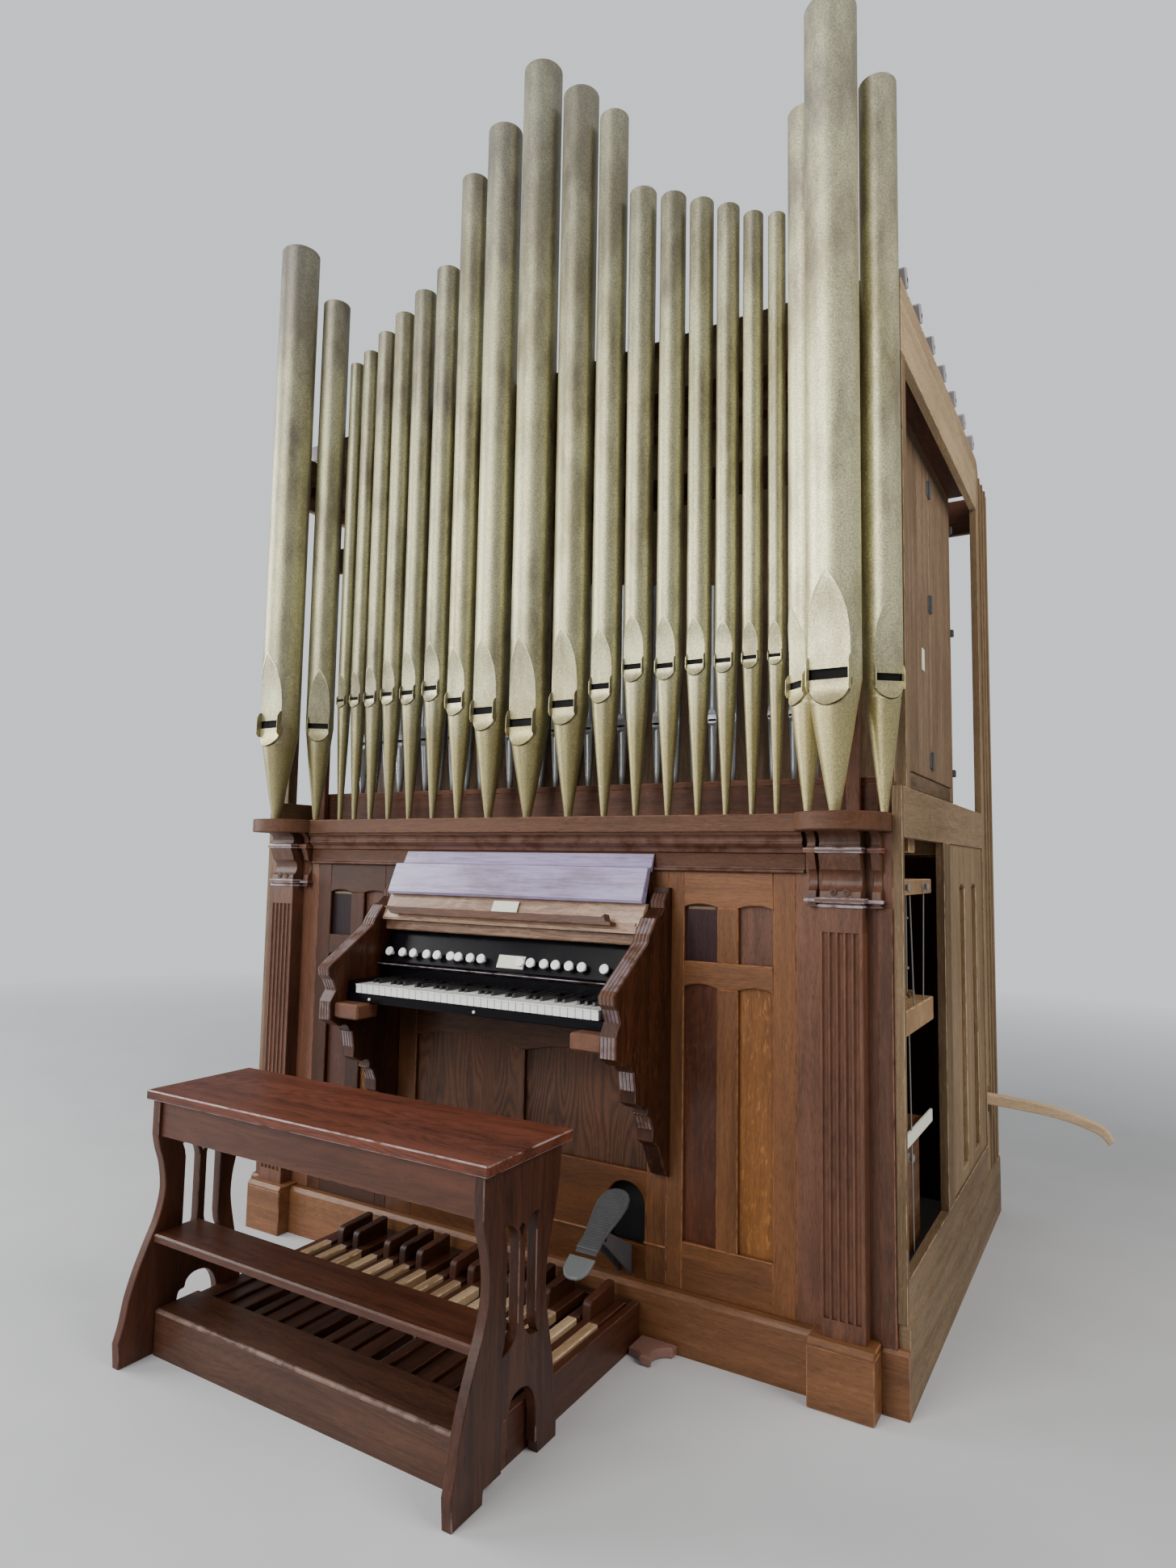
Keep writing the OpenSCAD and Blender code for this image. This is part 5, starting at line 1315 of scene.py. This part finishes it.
knobs.finish("ivory", "ivory", replaces=("stop_knobs",))
plate = Workpiece("bare_ivory_plate")
plate.add(board((-47.5, -19.5, -1), (47.5, 19.5, 2), 0.8), "x", at(32.5, knob_y + 1, knob_z + 2, lean))
plate.finish("card", "ivory")

# %% [markdown]
# The music desk is a tan board that leans back on a rail above the stops, with a long loose ledge on it. The
# ledge's left end is cut at a slant and its right end has a notch. A small bare card lies on the board.
# Above it the folded lid leans on the front: two boards under old varnish, whose lavender sheen is painted
# into their colour as a painted reflection.

# %% Music desk and lid
rail_z1, desk_z, ledge_lean = jamb_z1 + 33, jamb_z1 + 39, -8
desk = Workpiece("music_desk_boards")
desk.add(cut([(0, jamb_z1), (-76, jamb_z1), (-80, jamb_z1 + 4), (-80, jamb_z1 + 29), (-76, rail_z1),
              (0, rail_z1)], [], "x", -cheek_x0, cheek_x0, 1), "x", None, -0.8)
desk.add(cut([(-100, rail_z1), (-100, desk_z), (-64, jamb_z1 + 112), (-44, jamb_z1 + 112),
              (-70, jamb_z1 + 53), (-70, rail_z1)], [], "x", -cheek_x0, cheek_x0, 2), "x", None, 0.5)
desk.add(board((-cheek_x0, -70, rail_z1), (cheek_x0, 0, jamb_z1 + 53), 1), "x", None, 0)
slope = at(0, -100, desk_z, ("X", -math.degrees(math.atan2(36, 73))))
desk.add(cut([(-452, 0), (452, 0), (452, 14), (446, 14), (446, 24), (-446, 24), (-446, 14), (-452, 14)], [],
             "y", -4, 2, 1), "x", slope, 0.9)
desk.finish("music_wood", "light_oak", replaces=("music_desk",))
lip = Workpiece("music_desk_ledge")
tray = [(-400, 0), (388, 0), (388, 10), (372, 12), (366, 30), (356, 22), (-432, 22)]
lip.add(cut(tray, [], "y", -34, -3, 2), "x", at(0, -96, jamb_z1 + 50, ("X", ledge_lean)), -0.5)
lip.finish("oak", "light_oak")
bare = Workpiece("music_desk_card")
bare.add(board((-41, -6, 26), (51, -4.6, 70), 0.3), "x", slope)
bare.finish("card", "light_oak")
lid_x = cheek_x0 - 4
lid = Workpiece("key_lid_boards")
lid.add(cut([(-84, jamb_z1 + 122), (-47, frieze_z + 7), (-29, frieze_z + 2), (-58, jamb_z1 + 112),
             (-80, jamb_z1 + 114)], [], "x", -lid_x, lid_x, 1.5), "x", None, 0.2)
lid.add(cut([(-33, frieze_z + 8), (-27, frieze_z + 10), (-10, frieze_z + 45), (-5, frieze_z + 46),
             (-15, frieze_z + 12), (-20, frieze_z - 5), (-28, frieze_z)], [], "x", -lid_x + 14, lid_x, 1),
        "x", None, 0.9)
lid.finish("lid_wood", "lid_wood", replaces=("key_lid",))

# %% [markdown]
# The pedalboard is a frame of boards with a long heel box in front. Its naturals are narrow slats of worn
# maple. The sharps are raised blocks near the case with rounded noses, darker than the slats.

# %% Pedals
pedal_n, pedal_mid, pedal_pitch, pedal_w, pedal_z, pedal_t = 16, -67, 62.2, 29, 110, 26
half_w = (pedal_n - 1) / 2 * pedal_pitch + 40.5
px0, px1, heel_y0, heel_y1, rear_board = pedal_mid - half_w, pedal_mid + half_w, -755, -630, -61
heel = Workpiece("heel_box_boards")
heel.add(cut([(heel_y0, 0), (heel_y0, pedal_z - 14), (heel_y0 + 18, pedal_z - 14), (heel_y0 + 18, 0)], [],
             "x", px0, px1, 1.5), "x", None, 0.4)
heel.add(cut([(heel_y0, pedal_z - 14)] + arc(heel_y0 + 8, pedal_z - 6, 8, 180, 90, 5)
             + [(heel_y1, pedal_z + 2), (heel_y1, pedal_z - 14)], [], "x", px0, px1, 1), "x", None, 0.1)
for x0, x1 in ((px0, px0 + 20), (px1 - 20, px1)):
    heel.add(board((x0, heel_y0 + 18, 0), (x1, heel_y1, pedal_z - 14), 1.5), "y")
heel.add(board((px0 + 20, heel_y1 - 20, 0), (px1 - 20, heel_y1, pedal_z - 14), 1.5), "x")
heel.finish("heel_oak", "oak", replaces=("heel_box",))
pedal_frame = Workpiece("pedal_frame_boards")
for x0, x1 in ((px0, px0 + 22), (px1 - 22, px1)):
    pedal_frame.add(board((x0, heel_y1, 0), (x1, -31, pedal_z - 4), 2), "y")
for y0, y1, z1 in ((heel_y1, heel_y1 + 24, pedal_z - pedal_t), (-330, -300, pedal_z - pedal_t),
                   (rear_board - 6, rear_board, pedal_z - pedal_t), (rear_board, -31, pedal_z - 4)):
    pedal_frame.add(board((px0 + 22, y0, 0), (px1 - 22, y1, z1), 1.5), "x")
pedal_frame.finish("dark_wood", "oak", replaces=("pedal_frame",))
slats, blocks, stems = [Workpiece("pedal_" + n) for n in ("natural_slats", "sharp_blocks", "slat_heels")]
# The slats' rear ends among the sharps are dark wood: painted shade. Their front ends under the bench are
# dark wood too.
cap_y, shade_y = -470, -205
for i in range(pedal_n):
    x = pedal_mid + (i - (pedal_n - 1) / 2) * pedal_pitch
    slats.add(board((x - pedal_w / 2, cap_y, pedal_z - pedal_t), (x + pedal_w / 2, shade_y, pedal_z), 3), "y")
    stems.add(board((x - pedal_w / 2, shade_y, pedal_z - pedal_t), (x + pedal_w / 2, rear_board, pedal_z), 2),
              "y")
    stems.add(board((x - pedal_w / 2, heel_y1, pedal_z - pedal_t), (x + pedal_w / 2, cap_y, pedal_z - 1), 2),
              "y")
    if sharp_after(i, pedal_n):
        x += pedal_pitch / 2
        nose = ([(rear_board - 130, pedal_z - 8), (rear_board - 128, pedal_z + 12)]
                + arc(rear_board - 110, pedal_z + 22, 18, 170, 95, 5))
        blocks.add(cut([(rear_board, pedal_z - pedal_t), (rear_board, pedal_z + 46)] + nose[::-1]
                       + [(heel_y1, pedal_z - 8), (heel_y1, pedal_z - pedal_t)], [], "x", x - 12, x + 12,
                       2.5), "y")
slats.finish("maple", "maple", replaces=("pedal_naturals",))
stems.finish("dark_wood", "maple")
blocks.finish("dark_wood", "dark_wood", replaces=("pedal_sharps",))
foot_x, foot_y = px1 + 6, -127
foot = Workpiece("bracket_foot_scroll")
foot.add(cut([(foot_x, -31)] + arc(foot_x, foot_y - 26, 52, 90, 30, 6)
             + arc(foot_x + 112, foot_y + 26, 44, 216, 100, 8) + [(foot_x + 104, -31)],
             [], "z", 0, 26, 5), "x", None, 2.0)
foot.finish("mahogany", "mahogany", replaces=("bracket_foot",))

# %% [markdown]
# The swell shoe is a cast pedal in the shape of a sole, with a separate smooth heel. It rocks on a pin
# between two iron arms that reach out from the case. The sole's face has fine ribs across it so that the
# foot does not slip.

# %% Swell shoe
def sole(y0, y1, grow=0.0):
    """The outline of a shoe's sole from y0 to y1, measured from the pin, toe toward the case."""
    widths = [(-145, 0), (-143, 14), (-136, 24), (-122, 33), (-105, 36), (-80, 36), (-55, 32), (-20, 30),
              (20, 35), (60, 43), (95, 46), (120, 41), (135, 30), (143, 15), (145, 0)]
    right = [(w + grow if w else 0, y) for y, w in widths if y0 <= y <= y1]
    return right + [(-w, y) for w, y in reversed(right) if w]


# The black board and sides behind the shoe's opening are painted shade.
well = Workpiece("shoe_well")
well.add(board((shoe_x - 80, panel_back + 4, shoe_sill - 20), (shoe_x + 80, panel_back + 10, shoe_crown + 20),
               1), "z")
for x0, x1 in ((shoe_x - 80, shoe_x - 74), (shoe_x + 74, shoe_x + 80)):
    well.add(board((x0, frame_t, shoe_sill - 20), (x1, panel_back + 4, shoe_crown + 20), 1), "z")
well.finish("inside", "light_oak")
pin_y, pin_z, shoe_lean, pin_half = -145, plinth_h + 142, 30, 22
pin = at(shoe_x, pin_y, pin_z)
shoe_place = at(shoe_x, pin_y, pin_z, ("X", shoe_lean))
shoe = Workpiece("swell_shoe_sole")
shoe.add(cut(sole(-56, 145), [], "z", 14, 24, 2.5), "y", shoe_place)
shoe.add(board((-30, -66, 14), (30, -50, 20), 1), "x", shoe_place, -1)
for k in range(22):
    y = -48 + 8 * k
    half = 26 if y < 25 else 34 if y < 95 else 26
    shoe.add(board((-half, y, 23.4), (half, y + 4, 25.4), 0.8), "x", shoe_place, 0.4)
lug = [(22, 14), (-22, 14)] + arc(0, 0, 14, 170, 370, 14)
shoe.add(cut(lug, [arc(0, 0, 6.1, 0, 345, 15)], "x", -13, 13, 0.8), "y", shoe_place)
shoe.finish("shoe_iron", "shoe_iron", body="shoe", replaces=("swell_shoe",))
heel_pad = Workpiece("swell_shoe_heel")
heel_pad.add(cut(sole(-145, -60, 1), [], "z", 14, 26, 3.5), "y", shoe_place)
heel_pad.finish("heel_rubber", "shoe_iron", body="shoe")
bracket = Workpiece("shoe_bracket_arms")
arm = ([(0, plinth_h + 4), (0, plinth_h + 82), (-120, plinth_h + 150)]
       + arc(pin_y, pin_z, 12, 60, 250, 9) + [(-40, plinth_h + 40)])
for x in (shoe_x - 18, shoe_x + 18):
    bracket.add(cut(arm, [], "x", x - 4, x + 4, 1), "y")
bracket.add(turned([(0, -pin_half), (6, -pin_half), (6, pin_half), (0, pin_half)], pin @ sideways, 16), "x")
bracket.finish("shoe_iron", "shoe_iron", replaces=("shoe_bracket",))

# %% [markdown]
# The bench stands by itself over the pedals. Each end is one wide board: an S-curved front, a waist, an
# arched foot and two pierced lancets that flare at their ends. The curves were drawn by hand on the wood, so
# smooth curves through a few measured points fit them well.

# %% Bench
def curve(points, steps=4):
    """A smooth line through all the points."""
    out = []
    for k in range(len(points) - 1):
        p = [Vector(points[max(0, min(len(points) - 1, k + j))]) for j in (-1, 0, 1, 2)]
        for s in range(steps):
            t = s / steps
            q = 0.5 * (2 * p[1] + (p[2] - p[0]) * t + (2 * p[0] - 5 * p[1] + 4 * p[2] - p[3]) * t * t
                       + (3 * p[1] - p[0] - 3 * p[2] + p[3]) * t ** 3)
            out.append(tuple(q))
    return out + [tuple(points[-1])]


seat_z, seat_t, tracery_y = 657, 24, -630
end_front = curve([(-750, 0), (-845, 0)], 1) + curve(
    [(-850, 60), (-838, 100), (-826, 160), (-806, 220), (-780, 280), (-757, 330), (-744, 380), (-742, 420),
     (-750, 470), (-763, 510), (-771, 545)]) + [(-771, seat_z - seat_t)]
end_rear = [(-480, seat_z - seat_t)] + curve(
    [(-484, 575), (-496, 510), (-516, 450), (-531, 390), (-534, 330), (-522, 260), (-504, 180), (-490, 100),
     (-484, 60)]) + [(-484, 0), (-556, 0), (-562, 26), (-566, 26)]
end_arch = curve([(-566, 60), (-568, 100), (-580, 135), (-604, 158), (-640, 162), (-662, 150), (-668, 132),
                  (-684, 128), (-690, 100), (-688, 60)], 3) + [(-688, 26), (-748, 26)]
lancet = ([(11.5, 300)] + curve([(16, 280), (34, 262), (65, 255)], 3) + curve([(57, 275), (53.5, 300)], 2)
          + [(53.5, seat_z - 187)] + curve([(57, seat_z - 168), (64, seat_z - 150)], 2)
          + curve([(48, seat_z - 147), (34, seat_z - 153), (18, seat_z - 170), (11.5, seat_z - 192)], 3))
holes = [[(tracery_y + s * y, z) for y, z in lancet] for s in (-1, 1)]
holes.append([(tracery_y + y, seat_z - 165 + z) for y, z in ((-11, 0), (0, -19), (11, 0), (0, 9))])
bench_in, end_t = half_w + 4, 26
bench_ends = Workpiece("bench_end_boards")
for x in (pedal_mid - bench_in - end_t, pedal_mid + bench_in):
    bench_ends.add(cut(end_front + end_rear + end_arch, holes, "x", x, x + end_t, 2), "z")
bench_ends.finish("bench_wood", "mahogany", replaces=("bench_ends",))
over = bench_in + end_t + 16
seat = Workpiece("bench_seat_board")
seat.add(board((pedal_mid - over, -782, seat_z - seat_t), (pedal_mid + over, -458, seat_z), 3), "x")
seat.finish("seat_wood", "mahogany", replaces=("bench_seat",))
apron, apron_z = Workpiece("bench_apron_boards"), 541
for y in (-762, -510):
    apron.add(board((pedal_mid - bench_in, y, apron_z), (pedal_mid + bench_in, y + 20, seat_z - seat_t), 2),
              "x")
apron.finish("bench_wood", "mahogany", replaces=("bench_apron",))
shelf = Workpiece("bench_shelf_board")
shelf.add(cut([(-768, 282), (-768, 296), (-764, 300), (-640, 300), (-640, 280), (-766, 280)], [], "x",
              pedal_mid - bench_in, pedal_mid + bench_in, 1), "x")
shelf.finish("bench_wood", "mahogany", replaces=("bench_shelf",))

# %% [markdown]
# The hand pump's lever leaves the right side wall through a slot near the floor. It is a long bar of pale
# wood, and its rounded grip turns down at its end. Inside the wall it swings on a pin between two cheeks.

# %% Pump lever
pump_x, pin_r, pin_play = inner_x - 70, 6, 1
bar_low = curve([(pump_x - 60, pump_z - 19), (side_x + 180, pump_z - 37), (side_x + 330, pump_z - 72),
                 (side_x + 372, pump_z - 108)], 6)
bar_high = curve([(side_x + 388, pump_z - 94), (side_x + 348, pump_z - 46), (side_x + 180, pump_z - 1),
                  (pump_x - 60, pump_z + 19)], 6)
lever = Workpiece("pump_lever_bar")
pin_hole = [(pump_x + y, pump_z + z) for y, z in arc(0, 0, pin_r + pin_play, 0, 345, 15)]
lever.add(cut(bar_low + bar_high, [pin_hole], "y", lever_y - 15, lever_y + 15, 5), "x")
lever.finish("lever_wood", "light_oak", body="lever", replaces=("pump_lever",))
cheek_pair = Workpiece("pump_bracket_cheeks")
for side in (-1, 1):
    y = lever_y + side * 29
    cheek_pair.add(board((pump_x - 30, y - 9, pump_z - 40), (inner_x, y + 9, pump_z + 40), 3), "x")
cheek_pair.add(turned([(0, -35), (pin_r, -35), (pin_r, 35), (0, 35)], at(pump_x, lever_y, pump_z, ("X", 90)),
                      16), "y")
cheek_pair.finish("oak", "oak", replaces=("pump_bracket",))

# %% [markdown]
# Fixed plant stands on a floor, and the floor's shadow shows that it does. A pale sheet does for it here.
# Near the object it takes light and shadow, and farther out it passes over into the tone of the background,
# so that no horizon cuts through the picture.

# %% Floor
BACKDROP, GLOW, FADE = (0.93, 0.96, 1.0), 0.92, (3.4, 8.5)
floor_mesh = bpy.data.meshes.new("floor")
floor_mesh.from_pydata([(-30, -30, 0), (30, -30, 0), (30, 30, 0), (-30, 30, 0)], [], [(0, 1, 2, 3)])
floor = bpy.data.objects.new("floor", floor_mesh)
bpy.context.scene.collection.objects.link(floor)
f = Finish("pale floor")
cloud = f.ramp(f.noise(f.place(), 1.4, 4.0, 0.6), 0.3, 0.7)
floor_mesh.materials.append(f.surface(Base_Color=f.mix(cloud, (0.60, 0.61, 0.62), (0.66, 0.67, 0.68)),
                                      Roughness=0.7))
far = f.ramp(f.node("ShaderNodeVectorMath", {"operation": "LENGTH"}, {0: f.place()}, 1), *FADE)
glow = f.node("ShaderNodeEmission", {}, {"Color": (*BACKDROP, 1), "Strength": GLOW})
faded = f.node("ShaderNodeMixShader", {}, {0: far * f.node("ShaderNodeLightPath", {}, {}, "Is Camera Ray"),
                                           1: Flow(f, f.shader.outputs[0]), 2: glow})
f.tree.links.new(faded.socket, f.tree.nodes["Material Output"].inputs["Surface"])
print("floor fades out between", FADE, "m")

# %% [markdown]
# The background is one pale tone. The camera sees it bright, but it lights the organ much less than that, so
# the shadows between the pipes and inside the case stay deep, as they are in the photograph.

# %% Background
FILL = 0.31
world = bpy.data.worlds.new("studio")
world.use_nodes = True
bpy.context.scene.world = world
tree = world.node_tree
sky = tree.nodes["Background"]
rays = tree.nodes.new("ShaderNodeLightPath")
pick = tree.nodes.new("ShaderNodeMath")
pick.operation = "MAXIMUM"
tree.links.new(rays.outputs["Is Camera Ray"], pick.inputs[0])
tree.links.new(rays.outputs["Is Transmission Ray"], pick.inputs[1])
level = tree.nodes.new("ShaderNodeMapRange")
level.inputs["To Min"].default_value, level.inputs["To Max"].default_value = FILL, GLOW
tree.links.new(pick.outputs[0], level.inputs["Value"])
sky.inputs["Color"].default_value = (*BACKDROP, 1)
tree.links.new(level.outputs[0], sky.inputs["Strength"])
print("background", BACKDROP, "fill light", FILL)

# %% [markdown]
# The photograph shows tall soft light from the front and from the left: every pipe has its broad highlight
# left of its middle and a dark right edge. Two large lamps give that light. A third, weaker one lifts the
# right side wall. It makes no reflection, because the pipes' right edges mirror nothing bright.

# %% Lamps
def lamp(name, place, aim, size, power, colour, mirrored=True):
    light = bpy.data.lights.new(name, "AREA")
    light.shape, light.size, light.size_y = "RECTANGLE", size[0], size[1]
    light.energy, light.color = power, colour
    holder = bpy.data.objects.new(name, light)
    holder.location = place
    holder.rotation_mode = "QUATERNION"
    holder.rotation_quaternion = (Vector(aim) - Vector(place)).to_track_quat("-Z", "Y")
    holder.visible_glossy = mirrored
    bpy.context.scene.collection.objects.link(holder)


lamp("front lamp", (-1.4, -5.8, 3.8), (0, 0, 1.7), (4.0, 4.5), 315, (1.0, 0.99, 0.97))
lamp("left lamp", (-6.2, -2.6, 3.4), (0, 0, 1.8), (4.0, 4.5), 440, (0.98, 0.99, 1.0))
lamp("side lamp", (5.0, -0.6, 4.6), (1.0, 0.6, 1.3), (3.0, 3.0), 200, (1.0, 0.96, 0.92), False)
print("lamps", [light.name for light in bpy.data.lights])
